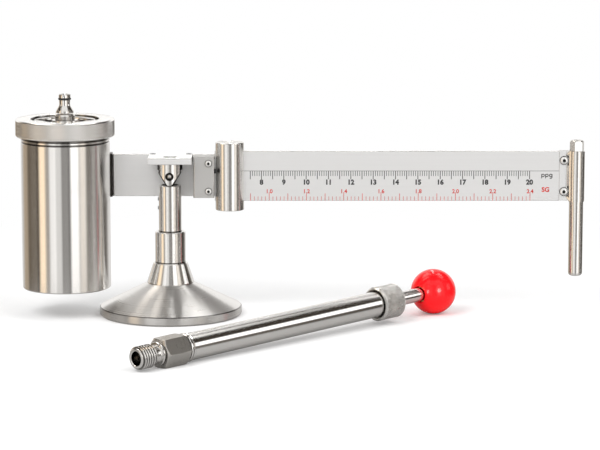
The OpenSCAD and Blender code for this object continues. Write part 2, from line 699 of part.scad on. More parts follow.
module shot_cap() color("#b5aea3") at_tube() difference() {
    union() {
        translate([0, 0, shot_cap_z]) rotate([0, 0, 10])
            cylinder(r = shot_cap_r, h = shot_cap_top_z - shot_cap_z, $fn = 6);
        translate([0, 0, shot_plug_z]) bar(tube_bore_r - fit_gap, tube_r * 2);
    }
    translate([0, 0, shot_cap_top_z - tube_r * 0.6])
        cylinder(r = shot_cap_r * 0.42, h = tube_r, $fn = 6);
    // chamfer that rounds the upper corners of the hexagon
    translate([0, 0, shot_cap_top_z - tube_r * 0.25]) difference() {
        bar(shot_cap_r * 1.2, tube_r);
        cylinder(r1 = shot_cap_r * 1.02, r2 = shot_cap_r * 0.8, h = tube_r * 0.26, $fn = 96);
    }
}

/* Rider */

module rider_weight() color("#bdb6ab") difference() {
    at_rider() turned([[0, rider_low_z], [rider_r - edge * 0.5, rider_low_z],
                       [rider_r, rider_low_z + edge * 0.5], [rider_r, rider_top_z - edge * 0.5],
                       [rider_r - edge * 0.5, rider_top_z], [0, rider_top_z]]);
    block([rider_x - rider_r * 2, beam_front_y - rider_gap, rider_slot_low_z],
          [rider_x + rider_r * 2, beam_back_y + rider_gap, beam_top_z + rider_gap]);
    at_rider() translate([0, 0, rider_low_z - rider_r]) bar(rider_bore_r, rider_r * 1.9);
}

module rider_ball() color("#cfd0d1") at_rider()
    translate([0, 0, rider_ball_z]) sphere(r = rider_ball_r, $fn = 48);

module rider_spring() color("#8c8d8f") at_rider() {
    low = rider_low_z + rider_screw_h;
    difference() {
        translate([0, 0, low]) bar(rider_bore_r * 0.85, rider_ball_z - rider_ball_r * 0.83 - low);
        translate([0, 0, low - rider_bore_r]) bar(rider_bore_r * 0.55, rider_bore_r * 8);
    }
}

module rider_screw() color("#4a4b4d") at_rider() difference() {
    translate([0, 0, rider_low_z]) bar(rider_bore_r, rider_screw_h);
    translate([0, 0, rider_low_z - rider_screw_h / 2])
        cylinder(r = rider_bore_r * 0.5, h = rider_screw_h, $fn = 6);
}

/* Cup */

module cup_body() color("#c2bfba") at_cup() difference() {
    turned([[0, cup_low_z], [cup_r - edge * 1.2, cup_low_z], [cup_r, cup_low_z + edge * 1.2],
            [cup_r, neck_z], [cup_r - neck_groove, neck_z + neck_step * 0.4],
            [cup_r - neck_groove, neck_z + neck_step], [cup_r, neck_z + neck_step * 1.4],
            [cup_r, neck_z + neck_step * 2.2], [cup_r - neck_groove, neck_z + neck_step * 2.6],
            [cup_r - neck_groove, neck_z + neck_step * 3.4], [cup_r, neck_z + neck_step * 3.8],
            [cup_r, cup_rim_z], [0, cup_rim_z]]);
    translate([0, 0, chamber_low_z]) bar(chamber_r, cup_rim_z);
    // hollow under the chamber's floor, closed by the base plate
    translate([0, 0, cup_low_z - edge]) bar(chamber_r, chamber_low_z - cup_low_z - floor_t + edge);
}

module cup_base() color("#b3b0aa") at_cup() turned([
    [0, cup_low_z + edge * 0.4], [chamber_r - edge * 0.5, cup_low_z + edge * 0.4],
    [chamber_r, cup_low_z + edge * 0.9], [chamber_r, cup_low_z + floor_t * 0.7],
    [0, cup_low_z + floor_t * 0.7]]);

module lid() color("#cfcfce") at_cup() difference() {
    turned([[0, lid_low_z + lid_dish], [chamber_r - edge * 4, lid_low_z],
            [chamber_r - fit_gap, lid_low_z + edge * 2],
            [chamber_r - fit_gap, lid_seal_z - lid_seal_r],
            [chamber_r - fit_gap - lid_seal_r * 2, lid_seal_z - lid_seal_r],
            [chamber_r - fit_gap - lid_seal_r * 2, lid_seal_z + lid_seal_r],
            [chamber_r - fit_gap, lid_seal_z + lid_seal_r],
            [chamber_r - fit_gap, cup_rim_z + slip_slack], [cup_r - edge, cup_rim_z + slip_slack],
            [cup_r - edge, lid_flange_top_z], [lid_boss_r, lid_flange_top_z],
            [lid_boss_r, lid_top_z - edge * 0.4], [lid_boss_r - edge * 0.4, lid_top_z],
            [0, lid_top_z]]);
    // trough of round section around the valve
    translate([0, 0, lid_top_z]) rotate_extrude($fn = 96)
        translate([trough_mid_r, 0]) circle(r = trough_r, $fn = 48);
    translate([0, 0, lid_low_z - lid_boss_r]) bar(housing_tube_r, lid_boss_r * 3);
    for (s = [-1, 1]) translate([s * pocket_x, 0, lid_top_z - pocket_d])
        bar(pocket_r, lid_boss_r);
}

module lid_seal() color("#161616") at_cup()
    translate([0, 0, lid_seal_z]) o_ring(chamber_r - fit_gap * 1.2, lid_seal_r * 1.8);

module slip_washer() color("#e6e2d8") at_cup()
    translate([0, 0, lid_flange_top_z + slip_slack]) difference() {
        bar(cup_r - edge, slip_t);
        translate([0, 0, -slip_t]) bar(lid_boss_r + edge * 0.7, slip_t * 3);
    }

module cap_ring() color("#c9c8c6") at_cup() difference() {
    turned([[cup_r + fit_gap, ring_low_z], [ring_r - edge * 1.2, ring_low_z],
            [ring_r, ring_low_z + edge * 1.2], [ring_r, ring_top_z - edge * 0.8],
            [ring_r - edge * 0.8, ring_top_z], [ring_open_r, ring_top_z],
            [ring_open_r, ring_wall_z], [cup_r + fit_gap, ring_wall_z]]);
    // relief that leaves the screw's mouth open at the lower edge
    translate([0, 0, ring_low_z - edge])
        cylinder(r1 = cup_r + edge * 2, r2 = cup_r - edge * 0.5, h = edge * 2.2, $fn = 96);
}

/* Check valve */

module housing_seal() color("#1a1a1a") at_cup()
    translate([0, 0, lid_top_z]) difference() {
        bar(housing_r * 0.97, housing_seal_t);
        translate([0, 0, -housing_seal_t]) bar(housing_tube_r, housing_seal_t * 3);
    }

module valve_housing() color("#cfcbc4") at_cup() difference() {
    turned([[0, housing_low_z], [housing_tube_r, housing_low_z],
            [housing_tube_r, lid_top_z + housing_seal_t], [housing_r, lid_top_z + housing_seal_t],
            [housing_r, housing_top_z - housing_r * 0.2],
            [housing_r * 0.93, housing_top_z - housing_r * 0.07],
            [housing_r * 0.82, housing_top_z], [0, housing_top_z]]);
    translate([0, 0, housing_low_z - housing_r]) bar(stem_r + fit_gap, housing_r * 6);
}

module valve_stem() color("#d3cfc8") at_cup() difference() {
    turned([[0, stem_low_z], [stem_r * 0.6, stem_low_z], [stem_r * 0.6, valve_seal_top_z],
            [stem_r, valve_seal_top_z], [stem_r, flare_low_z - stem_r * 0.12],
            [stem_r, flare_low_z], [flare_r, flare_low_z],
            [flare_r, flare_low_z + stem_r * 0.45], [flare_r * 0.93, flare_low_z + stem_r * 0.75],
            [stem_neck_r * 1.02, flare_low_z + stem_r * 1.75],
            [stem_neck_r * 0.95, flare_low_z + stem_r * 2.1],
            [stem_neck_r * 0.98, o_ring_z - o_ring_t * 0.9], [stem_neck_r, o_ring_z - o_ring_t * 0.55],
            [stem_ring_r - o_ring_t, o_ring_z - o_ring_t * 0.55],
            [stem_ring_r - o_ring_t, o_ring_z + o_ring_t * 0.55],
            [stem_neck_r * 1.03, o_ring_z + o_ring_t * 0.55],
            [stem_neck_r * 1.05, crown_top_z - crown_h * 0.25],
            [stem_neck_r * 0.97, crown_top_z], [0, crown_top_z]]);
    translate([0, 0, valve_seal_top_z + stem_r * 0.3]) bar(stem_r * 0.45, crown_top_z);
    translate([0, 0, crown_top_z - crown_h * 1.2]) bar(stem_neck_r * 0.62, crown_top_z);
    // port at the foot and notches across the crown
    translate([-stem_r * 2, 0, housing_low_z - stem_travel * 0.45]) rotate([0, 90, 0])
        bar(stem_r * 0.3, stem_r * 4);
    for (a = [0, 90]) rotate([0, 0, a])
        block([-stem_neck_r * 0.14, -stem_r * 2, crown_top_z - crown_h * 0.6],
              [stem_neck_r * 0.14, stem_r * 2, crown_top_z * 2]);
}

module valve_o_ring() color("#0f0f10") at_cup()
    translate([0, 0, o_ring_z]) o_ring(stem_ring_r, o_ring_t);

module valve_seal() color("#1b1b1c") at_cup()
    translate([0, 0, valve_seal_top_z - valve_seal_t]) difference() {
        bar(housing_tube_r * 0.92, valve_seal_t);
        translate([0, 0, -valve_seal_t]) bar(stem_r * 0.6, valve_seal_t * 3);
    }

module stem_nut() color("#a9aaac") at_cup() translate([0, 0, stem_low_z]) difference() {
    cylinder(r = stem_r * 1.35, h = stem_nut_h, $fn = 6);
    translate([0, 0, -stem_nut_h]) bar(stem_r * 0.6, stem_nut_h * 3);
}

/* Pump */

module pump_nose() color("#b3aea6") on_pump() difference() {
    union() {
        turned(concat([[0, 0], [thread_root_r, 0], [thread_root_r, thread_pitch * 0.2]],
                      thread_profile,
                      [[thread_root_r, thread_len], [thread_r * 0.84, thread_len + edge * 0.5],
                       [thread_r * 0.84, hex_s - edge * 3], [thread_r * 0.97, hex_s - edge * 2.4],
                       [thread_r * 0.97, hex_s + edge], [0, hex_s + edge]]));
        intersection() {
            translate([0, 0, hex_s]) rotate([0, 0, 30])
                cylinder(r = hex_af / sqrt(3), h = hex_len, $fn = 6);
            // cone-shaped chamfers on both ends of the hexagon
            turned([[0, hex_s], [hex_af * 0.5, hex_s], [hex_af * 0.6, hex_s + hex_af * 0.06],
                    [hex_af * 0.6, bead_s - hex_af * 0.06], [hex_af * 0.5, bead_s],
                    [0, bead_s]]);
        }
        turned([[0, bead_s - edge], [barrel_r, bead_s - edge],
                [barrel_r, bead_s + bead_len * 0.1], [bead_r, bead_s + bead_len * 0.2],
                [bead_r, bead_s + bead_len * 0.45], [barrel_r * 0.97, bead_s + bead_len * 0.5],
                [barrel_r * 0.97, bead_s + bead_len * 0.58],
                [bead_r * 0.99, bead_s + bead_len * 0.66],
                [bead_r * 0.98, bead_s + bead_len * 0.92], [barrel_r, barrel_s],
                [barrel_bore_r, barrel_s], [barrel_bore_r, barrel_s + spigot_len * 0.42],
                [nose_groove_r, barrel_s + spigot_len * 0.42],
                [nose_groove_r, barrel_s + spigot_len * 0.58],
                [barrel_bore_r, barrel_s + spigot_len * 0.58],
                [barrel_bore_r, barrel_s + spigot_len], [0, barrel_s + spigot_len]]);
    }
    translate([0, 0, -edge]) bar(nose_bore_r, hex_s * 0.85 + edge);
    translate([0, 0, hex_s * 0.7]) bar(nose_bore_r * 0.35, ball_s);
}

module nose_seal() color("#161616") on_pump(barrel_s + spigot_len * 0.5)
    o_ring(barrel_bore_r, spigot_len * 0.145);

module pump_barrel() color("#d0d0cf") on_pump()
    turned([[barrel_bore_r, barrel_s], [barrel_r, barrel_s], [barrel_r, barrel_end_s],
            [barrel_bore_r, barrel_end_s]]);

module pump_nut() color("#a8a6a2") on_pump() turned([
    [barrel_r, nut_s], [nut_r - nut_lip, nut_s], [nut_r, nut_s + nut_lip],
    [nut_r, nut_s + nut_len - nut_lip], [nut_r - nut_lip, nut_s + nut_len],
    [rod_r + edge * 0.6, nut_s + nut_len], [rod_r + edge * 0.6, nut_s + nut_len * 0.86],
    [barrel_bore_r, nut_s + nut_len * 0.86], [barrel_bore_r, barrel_end_s],
    [barrel_r, barrel_end_s]]);

module rod_gland() color("#b98a3e") on_pump() turned([
    [rod_r + fit_gap, gland_s], [barrel_bore_r, gland_s], [barrel_bore_r, nut_s + nut_len * 0.7],
    [rod_r + fit_gap, nut_s + nut_len * 0.7]]);

module rod_seal() color("#1d1d1e") on_pump() turned([
    [rod_r + fit_gap, nut_s + nut_len * 0.7], [barrel_bore_r, nut_s + nut_len * 0.7],
    [barrel_bore_r, nut_s + nut_len * 0.7 + seal_len],
    [rod_r + fit_gap, nut_s + nut_len * 0.7 + seal_len]]);

module plunger_rod() color("#cfcfce") on_pump() turned([
    [0, piston_s + edge], [rod_r * 0.6, piston_s + edge], [rod_r * 0.6, stud_s],
    [rod_r, stud_s], [rod_r, ball_socket_s], [knob_thread_r, ball_socket_s],
    [knob_thread_r, ball_s + ball_r * 0.3], [0, ball_s + ball_r * 0.3]]);

module piston() color("#c7a556") on_pump() difference() {
    turned([[0, piston_s], [piston_r, piston_s], [piston_r, groove_s[0]],
            [piston_r - groove_w * 0.9, groove_s[0]], [piston_r - groove_w * 0.9, groove_s[0] + groove_w],
            [piston_r, groove_s[0] + groove_w], [piston_r, groove_s[1]],
            [piston_r - groove_w * 0.9, groove_s[1]], [piston_r - groove_w * 0.9, groove_s[1] + groove_w],
            [piston_r, groove_s[1] + groove_w], [piston_r, piston_s + piston_len],
            [0, piston_s + piston_len]]);
    translate([0, 0, piston_s + edge]) bar(rod_r * 0.6, piston_len);
    translate([0, 0, stud_s]) bar(rod_r, piston_len);
}

module piston_rings() color("#141414") for (s = groove_s)
    on_pump(s + groove_w / 2) o_ring(piston_r, groove_w * 0.9);

module ball_knob() color("#e01b22") on_pump() difference() {
    translate([0, 0, ball_s]) sphere(r = ball_r, $fn = 128);
    translate([0, 0, ball_face_s - ball_r]) bar(ball_neck_r, ball_r + ball_neck_r * 0.35);
    translate([0, 0, ball_face_s - ball_r]) bar(insert_r, ball_s + ball_r * 0.36 - ball_face_s + ball_r);
}

module knob_insert() color("#b08d45") on_pump() difference() {
    translate([0, 0, ball_face_s + ball_neck_r * 0.35])
        bar(insert_r, ball_s + ball_r * 0.36 - ball_face_s - ball_neck_r * 0.35);
    translate([0, 0, ball_face_s - ball_r]) bar(rod_r, ball_socket_s - ball_face_s + ball_r);
    translate([0, 0, ball_face_s]) bar(knob_thread_r, ball_s + ball_r * 0.3 - ball_face_s);
}

stand_base();
base_collar();
lower_post();
upper_post();
fulcrum_seat();
seat_screws();
knife_stub();
knife_edge();
knife_pin();
level_block();
level_vial();
level_liquid();
level_screws();
arm();
arm_saddle();
joint_block();
joint_screws();
stop_stud();
graduated_beam();
end_bracket();
end_screws();
shot_tube();
lead_shot();
cap_washer();
shot_cap();
rider_weight();
rider_ball();
rider_spring();
rider_screw();
cup_body();
cup_base();
lid();
lid_seal();
slip_washer();
cap_ring();
housing_seal();
valve_housing();
valve_stem();
valve_o_ring();
valve_seal();
stem_nut();
pump_nose();
nose_seal();
pump_barrel();
pump_nut();
rod_gland();
rod_seal();
plunger_rod();
piston();
piston_rings();
ball_knob();
knob_insert();
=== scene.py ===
import math

import bmesh
import bpy
import numpy as np
from mathutils import Matrix, Vector


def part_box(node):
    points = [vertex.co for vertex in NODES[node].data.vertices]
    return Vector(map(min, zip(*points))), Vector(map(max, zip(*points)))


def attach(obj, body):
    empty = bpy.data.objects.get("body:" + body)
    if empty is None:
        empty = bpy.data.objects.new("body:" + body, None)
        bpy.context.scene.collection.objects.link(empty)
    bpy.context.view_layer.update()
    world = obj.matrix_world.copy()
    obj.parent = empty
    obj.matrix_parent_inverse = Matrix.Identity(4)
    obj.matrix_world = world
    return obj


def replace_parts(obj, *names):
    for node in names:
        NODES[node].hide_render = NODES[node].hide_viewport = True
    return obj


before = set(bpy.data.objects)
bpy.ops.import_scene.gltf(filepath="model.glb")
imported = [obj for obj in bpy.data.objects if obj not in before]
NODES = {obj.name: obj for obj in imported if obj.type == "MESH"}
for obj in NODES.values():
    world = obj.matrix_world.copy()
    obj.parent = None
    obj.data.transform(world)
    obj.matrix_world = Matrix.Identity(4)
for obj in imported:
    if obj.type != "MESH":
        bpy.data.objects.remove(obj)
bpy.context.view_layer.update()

MM = 0.001
SCENE = bpy.context.scene

# Axes of the turned pieces: a point on each axis and its direction.
UP = Vector((0.0, 0.0, 1.0))
STAND_AXIS = (Vector((0.0, 0.0, 0.0)), UP)
CUP_AXIS = (Vector((-89.6 * MM, 0.0, 0.0)), UP)
RIDER_AXIS = (Vector((51.2 * MM, 7.0 * MM, 0.0)), UP)
TUBE_AXIS = (Vector((350.0 * MM, 7.0 * MM, 0.0)), UP)

# The pump lies on its hexagon and on the ball. S is a distance along the pump from its nose,
# AF a width across flats.
BALL_R, HEX_AF, BALL_S, HEX_S = 19.5 * MM, 23.0 * MM, 344.5 * MM, 24.0 * MM
PUMP_RISE = math.asin((BALL_R - HEX_AF / 2) / (BALL_S - HEX_S))
PUMP_ORIGIN = Vector((-16.5 * MM, -243.0 * MM, HEX_AF / 2 - HEX_S * math.sin(PUMP_RISE)))
PUMP_PLACE = (Matrix.Translation(PUMP_ORIGIN) @ Matrix.Rotation(math.radians(45), 4, "Z")
              @ Matrix.Rotation(math.pi / 2 - PUMP_RISE, 4, "Y"))
PUMP_AXIS = (PUMP_ORIGIN, (PUMP_PLACE.to_3x3() @ Vector((0, 0, 1))).normalized())


# Camera, floor and light

def build_camera():
    """The camera that was fitted to the photograph, in metres and degrees."""
    data = bpy.data.cameras.new("camera")
    data.sensor_width = 36.0
    data.lens = 169.72
    data.clip_start = 0.05
    data.clip_end = 200.0
    cam = bpy.data.objects.new("camera", data)
    cam.location = (0.11177, -2.40622, 0.46459)
    cam.rotation_euler = (math.radians(80.864), 0.0, 0.0)
    SCENE.collection.objects.link(cam)
    SCENE.camera = cam


class Graph:
    """A node tree with short calls for the nodes that the materials share."""

    def __init__(self, tree):
        self.tree = tree
        tree.nodes.clear()

    def add(self, kind, inputs=None, **props):
        n = self.tree.nodes.new("ShaderNode" + kind)
        for key, value in props.items():
            setattr(n, key, value)
        for key, value in (inputs or {}).items():
            self.put(n.inputs[key], value)
        return n

    def put(self, socket, value):
        if isinstance(value, bpy.types.NodeSocket):
            self.tree.links.new(value, socket)
        elif value is not None:
            socket.default_value = value

    def math(self, op, a, b=None, clamp=False):
        n = self.add("Math", operation=op, use_clamp=clamp)
        self.put(n.inputs[0], a)
        self.put(n.inputs[1], b)
        return n.outputs[0]

    def vec(self, op, a, b=None, scale=None):
        n = self.add("VectorMath", operation=op)
        self.put(n.inputs[0], a)
        self.put(n.inputs[1], b)
        self.put(n.inputs[3], scale)
        return n.outputs["Value" if op in ("DOT_PRODUCT", "LENGTH") else "Vector"]

    def xyz(self, vector):
        return self.add("SeparateXYZ", {0: vector}).outputs

    def join(self, x, y, z):
        return self.add("CombineXYZ", {0: x, 1: y, 2: z}).outputs[0]

    def noise(self, vector, scale, detail=2.0, rough=0.5, distortion=0.0):
        return self.add("TexNoise", {"Vector": vector, "Scale": scale, "Detail": detail,
                                     "Roughness": rough, "Distortion": distortion}).outputs[0]

    def step(self, value, low, high, out_low=0.0, out_high=1.0):
        return self.add("MapRange", {0: value, 1: low, 2: high, 3: out_low, 4: out_high},
                        interpolation_type="SMOOTHSTEP").outputs[0]

    def about_zero(self, noise, span):
        """A noise of 0 to 1, moved about zero and spread over the span."""
        return self.math("MULTIPLY", self.math("SUBTRACT", noise, 0.5), span)

    def mix(self, fac, a, b, blend="MIX"):
        n = self.add("Mix", data_type="RGBA", blend_type=blend)
        self.put(n.inputs[0], fac)
        self.put(n.inputs[6], a)
        self.put(n.inputs[7], b)
        return n.outputs[2]

    def blend(self, fac, first, second):
        return self.add("MixShader", {0: fac, 1: first, 2: second}).outputs[0]

    def diffuse(self, level):
        return self.add("BsdfDiffuse", {"Color": rgb(*level)}).outputs[0]

    def emission(self, strength):
        return self.add("Emission", {"Color": rgb(1, 1, 1), "Strength": strength}).outputs[0]

    def background(self, colour, strength):
        return self.add("Background", {"Color": colour, "Strength": strength}).outputs[0]


def new_material(name):
    mat = bpy.data.materials.new(name)
    mat.use_nodes = True
    return mat, Graph(mat.node_tree)


def rgb(r, g, b):
    return (r, g, b, 1.0)


# The studio that steel reflects. Each panel: azimuth from the front towards +X, half width and
# softness of its sides, lowest and highest elevation, softness there, level, tint. Degrees.
WHITE, WARM, CREAM = (1.0, 0.99, 0.975), (1.0, 0.80, 0.58), (1.0, 0.93, 0.85)
ROOM = (0.050, 0.042, 0.034)
PANELS = [
    # upright panels, seen in the cup, the posts, the rider and the tube
    (-126, 14, 10, -34, 22, 8, 0.42, WARM), (-93, 16, 8, -34, 22, 8, 0.12, WARM),
    (-60, 9, 7, -34, 40, 8, 1.40, WARM), (-45, 6, 6, -34, 40, 8, 0.40, CREAM),
    (-31, 8, 6, -34, 40, 8, 1.15, WHITE), (-15, 9, 6, -34, 40, 8, 0.85, WHITE),
    (4, 8, 6, -34, 40, 8, 0.30, WHITE), (28, 11, 7, -34, 40, 8, 1.65, WHITE),
    (50, 9, 8, -34, 40, 8, 1.10, CREAM), (74, 14, 6, -34, 40, 8, 0.18, CREAM),
    (130, 16, 20, -34, 16, 8, 0.10, CREAM), (180, 38, 22, -34, 2, 6, 0.75, WHITE),
    # the back wall, seen in level faces
    (180, 46, 14, 2, 24, 4, 1.02, WHITE),
    # the sides, seen as bands along the pump
    (90, 12, 5, 6, 27, 4, 1.6, WHITE), (-90, 12, 5, 14, 28, 4, 1.1, CREAM),
    # high panels, seen as fans on the foot's cone
    (124, 30, 8, 52, 72, 5, 3.9, WHITE), (-122, 36, 10, 47, 72, 8, 3.4, CREAM),
    (180, 3, 1, 34, 84, 6, 7.0, WHITE), (180, 22, 10, 24, 50, 8, 0.80, WHITE),
    (180, 22, 10, 50, 84, 8, 0.34, WHITE), (-148, 16, 8, 24, 50, 8, 0.60, WHITE),
    (0, 62, 14, 42, 66, 8, 1.0, WHITE),
    # from below
    (0, 181, 1, -95, -36, 8, 0.30, WHITE),
]
ROOM_LIGHT = 0.62   # level of the room's even light on what doesn't mirror it

# Small lamps that only the ball shows: azimuth, elevation, radius in m, power in W, tint.
LAMPS = [(-58, 13, 0.20, 7.5, WARM), (-30, 7, 0.21, 7.0, WHITE), (27, 13, 0.36, 17.0, WHITE)]
LAMP_FAR = 2.0      # their distance from the ball
LAMP_AIM = Vector((0.1, -0.05, 0.08))

TABLE_HALF = 30.0
TABLE_MIDDLE = (0.11, -0.05, 0.0)
TABLE_GREY = (0.86, 0.86, 0.86)
TABLE_GLOW = 0.19
TABLE_FADE = (0.32, 0.62)       # distances between which the table turns into an even white
# the table as metal mirrors it: painted darker, as shade near the parts
MIRRORED_SHADE_GREY = (0.52, 0.51, 0.50)
MIRRORED_REACH = (0.03, 0.13)   # ray lengths between which the mirrored table gives way to the room


def build_world():
    world = bpy.data.worlds.new("studio")
    SCENE.world = world
    world.use_nodes = True
    world.cycles.sampling_method = "NONE"
    g = Graph(world.node_tree)
    x, y, z = g.xyz(g.add("TexCoord").outputs["Generated"])
    flat = g.vec("NORMALIZE", g.join(x, y, 0.0))
    height = g.math("MULTIPLY", g.math("ARCSINE", z), 180 / math.pi)
    total = g.add("RGB").outputs[0]
    total.default_value = rgb(*ROOM)
    for azimuth, half, soft, low, high, fade, level, tint in PANELS:
        a = math.radians(azimuth)
        near = g.vec("DOT_PRODUCT", flat, (math.sin(a), -math.cos(a), 0.0))
        off = g.math("MULTIPLY", g.math("ARCCOSINE", near), 180 / math.pi)
        light = g.step(off, half + soft / 2, half - soft / 2, 0.0, level)
        light = g.math("MULTIPLY", light, g.step(height, low - fade / 2, low + fade / 2))
        light = g.math("MULTIPLY", light, g.step(height, high + fade / 2, high - fade / 2))
        total = g.mix(1.0, total, g.vec("SCALE", tint, scale=light), "ADD")
    path = g.add("LightPath").outputs
    seen = g.math("MAXIMUM", path["Is Camera Ray"], path["Is Transmission Ray"])
    even = g.background(rgb(1, 1, 1), ROOM_LIGHT)
    mirrored = g.background(total, 1.0)
    white = g.background(rgb(1, 1, 1), 1.0)
    shown = g.blend(path["Is Glossy Ray"], even, mirrored)
    g.add("OutputWorld", {"Surface": g.blend(seen, shown, white)})


def build_floor():
    mesh = bpy.data.meshes.new("floor")
    s = TABLE_HALF
    mesh.from_pydata([(-s, -s, 0), (s, -s, 0), (s, s, 0), (-s, s, 0)], [], [(0, 1, 2, 3)])
    floor = bpy.data.objects.new("floor", mesh)
    SCENE.collection.objects.link(floor)
    mat, g = new_material("floor")
    mat.cycles.emission_sampling = "NONE"
    path = g.add("LightPath").outputs
    paper = g.diffuse(TABLE_GREY)
    bright = g.add("AddShader", {0: paper, 1: g.emission(TABLE_GLOW)}).outputs[0]
    away = g.vec("LENGTH", g.vec("SUBTRACT", g.add("TexCoord").outputs["Object"], TABLE_MIDDLE))
    bright = g.blend(g.step(away, *TABLE_FADE), bright, g.emission(1.0))
    seen = g.math("MAXIMUM", path["Is Camera Ray"], path["Is Transmission Ray"])
    shown = g.blend(seen, paper, bright)
    # mirrored rays see a darker table: painted shade
    shown = g.blend(path["Is Glossy Ray"], shown, g.diffuse(MIRRORED_SHADE_GREY))
    far = g.math("MULTIPLY", g.step(path["Ray Length"], *MIRRORED_REACH), path["Is Glossy Ray"])
    clear = g.add("BsdfTransparent").outputs[0]
    g.add("OutputMaterial", {"Surface": g.blend(far, shown, clear)})
    mesh.materials.append(mat)


def build_lamp(name, where, size, power, tint=(1, 1, 1), only=None):
    """A round area lamp aimed at the object. only: the one object that it lights and shows in."""
    data = bpy.data.lights.new(name, "AREA")
    data.color = tint
    data.shape = "DISK"
    data.size = size
    data.energy = power
    lamp = bpy.data.objects.new(name, data)
    lamp.location = where
    lamp.rotation_euler = (LAMP_AIM - Vector(where)).to_track_quat("-Z", "Y").to_euler()
    lamp.visible_glossy = only is not None
    lamp.visible_transmission = False
    SCENE.collection.objects.link(lamp)
    if only is not None:
        lit = bpy.data.collections.new(name)
        lit.objects.link(only)
        lamp.light_linking.receiver_collection = lit


def build_ball_lamps():
    low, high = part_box("ball_knob")
    for i, (azimuth, elevation, radius, power, tint) in enumerate(LAMPS):
        a, e = math.radians(azimuth), math.radians(elevation)
        way = Vector((math.sin(a) * math.cos(e), -math.cos(a) * math.cos(e), math.sin(e)))
        build_lamp(f"ball_lamp_{i}", (low + high) / 2 + LAMP_FAR * way, radius * 2, power, tint,
                   NODES["ball_knob"])


# Materials

SHADE_DARK = (0.030, 0.026, 0.022)   # painted shade in grooves, gaps and at steps
STAIN = (0.72, 0.68, 0.62)        # tint of handled patches
SMUDGE = 0.06                     # how strongly they show
GROOVE_DEPTH = 0.02 * MM


def steel(name, colour, rough, aniso, axis=None, along=None, line=0.25, streak=0.04, bump=0.03,
          seed=0.0, metallic=1.0, painted_shade=(), low_shade=None):
    """Machined steel. axis: turned about it, with fine grooves round it. along: brushed in
    straight lines that way. line is the spacing of the tool marks in mm. painted_shade: painted
    shade in grooves, gaps and at steps, each (radius where it is full, radius where it ends,
    amount, start and end along the axis), in mm. low_shade: the same painted shade below a
    height, (full, end, amount)."""
    mat, g = new_material(name)
    place = g.add("TexCoord").outputs["Object"]
    k = 1.0 / (line * MM)
    if axis is not None:
        centre, way = axis
        rel = g.vec("SUBTRACT", place, tuple(centre))
        s = g.vec("DOT_PRODUCT", rel, tuple(way))
        radial = g.vec("SUBTRACT", rel, g.vec("SCALE", tuple(way), scale=s))
        dist = g.vec("LENGTH", radial)
        groove = g.vec("NORMALIZE", g.vec("CROSS_PRODUCT", tuple(way), rel))
        turn = g.vec("SCALE", g.vec("NORMALIZE", radial), scale=4.0)
        base = g.join(g.math("MULTIPLY", dist, k), g.math("MULTIPLY", s, k), seed)
        lines = g.vec("ADD", base, g.vec("SCALE", turn, scale=0.25))
        broad = g.vec("ADD", g.vec("SCALE", base, scale=0.12), turn)
    else:
        way = Vector(along).normalized()
        s = g.vec("DOT_PRODUCT", place, tuple(way))
        across = g.vec("SUBTRACT", place, g.vec("SCALE", tuple(way), scale=s))
        lines = g.vec("ADD", g.vec("SCALE", across, scale=k),
                      g.vec("SCALE", tuple(way), scale=g.math("MULTIPLY", s, k * 0.02)))
        lines = g.vec("ADD", lines, (seed, seed * 0.7, seed * 1.3))
        broad = g.vec("SCALE", lines, scale=0.10)
        groove = tuple(way + Vector((0.013, 0.017, 0.011)))   # never quite along a face's normal
    fine = g.noise(lines, 1.0, 3.0, 0.6)
    wide = g.noise(broad, 1.0, 2.0, 0.5)
    patch = g.noise(g.vec("ADD", place, (seed, seed, seed)), 38.0, 4.0, 0.6)
    tone = g.math("ADD", g.about_zero(fine, streak), g.about_zero(wide, streak * 1.6))
    tone = g.math("ADD", tone, g.about_zero(patch, streak * 0.5))
    dark = tuple(c * (1 - streak * 2.2) for c in colour)
    light = tuple(min(1.0, c * (1 + streak * 1.4)) for c in colour)
    mixed = g.mix(g.math("ADD", tone, 0.5, clamp=True), rgb(*dark), rgb(*light))
    stain = g.step(patch, 0.50, 0.78)
    stained = rgb(*(c * part for c, part in zip(colour, STAIN)))
    mixed = g.mix(g.math("MULTIPLY", stain, SMUDGE), mixed, stained)
    # painted shade: the colour turns dark in grooves, gaps and at steps, where shade falls
    for full, end, amount, start, stop in painted_shade:
        inside = g.math("MULTIPLY", g.math("GREATER_THAN", s, start * MM),
                        g.math("LESS_THAN", s, stop * MM))
        shade_mask = g.math("MULTIPLY", g.step(dist, full * MM, end * MM, amount, 0.0), inside)
        mixed = g.mix(shade_mask, mixed, rgb(*SHADE_DARK))
    # painted shade: the colour turns dark below a height, as in the lid's trough
    if low_shade is not None:
        full, end, amount = low_shade
        mixed = g.mix(g.step(s, full * MM, end * MM, amount, 0.0), mixed, rgb(*SHADE_DARK))
    r = g.math("ADD", rough, g.about_zero(fine, rough * 0.2))
    r = g.math("ADD", r, g.math("MULTIPLY", stain, SMUDGE * 0.6), clamp=True)
    world_groove = g.add("VectorTransform", {0: groove}, vector_type="VECTOR",
                         convert_from="OBJECT", convert_to="WORLD").outputs[0]
    normal = g.add("NewGeometry").outputs["Normal"]
    spread = g.vec("NORMALIZE", g.vec("CROSS_PRODUCT", normal, world_groove))
    bumped = g.add("Bump", {"Strength": bump, "Distance": GROOVE_DEPTH, "Height": fine})
    shader = g.add("BsdfPrincipled", {
        "Base Color": mixed, "Metallic": metallic, "Roughness": r, "Anisotropic": aniso,
        "Tangent": spread, "Normal": bumped.outputs[0]})
    g.add("OutputMaterial", {"Surface": shader.outputs[0]})
    return mat


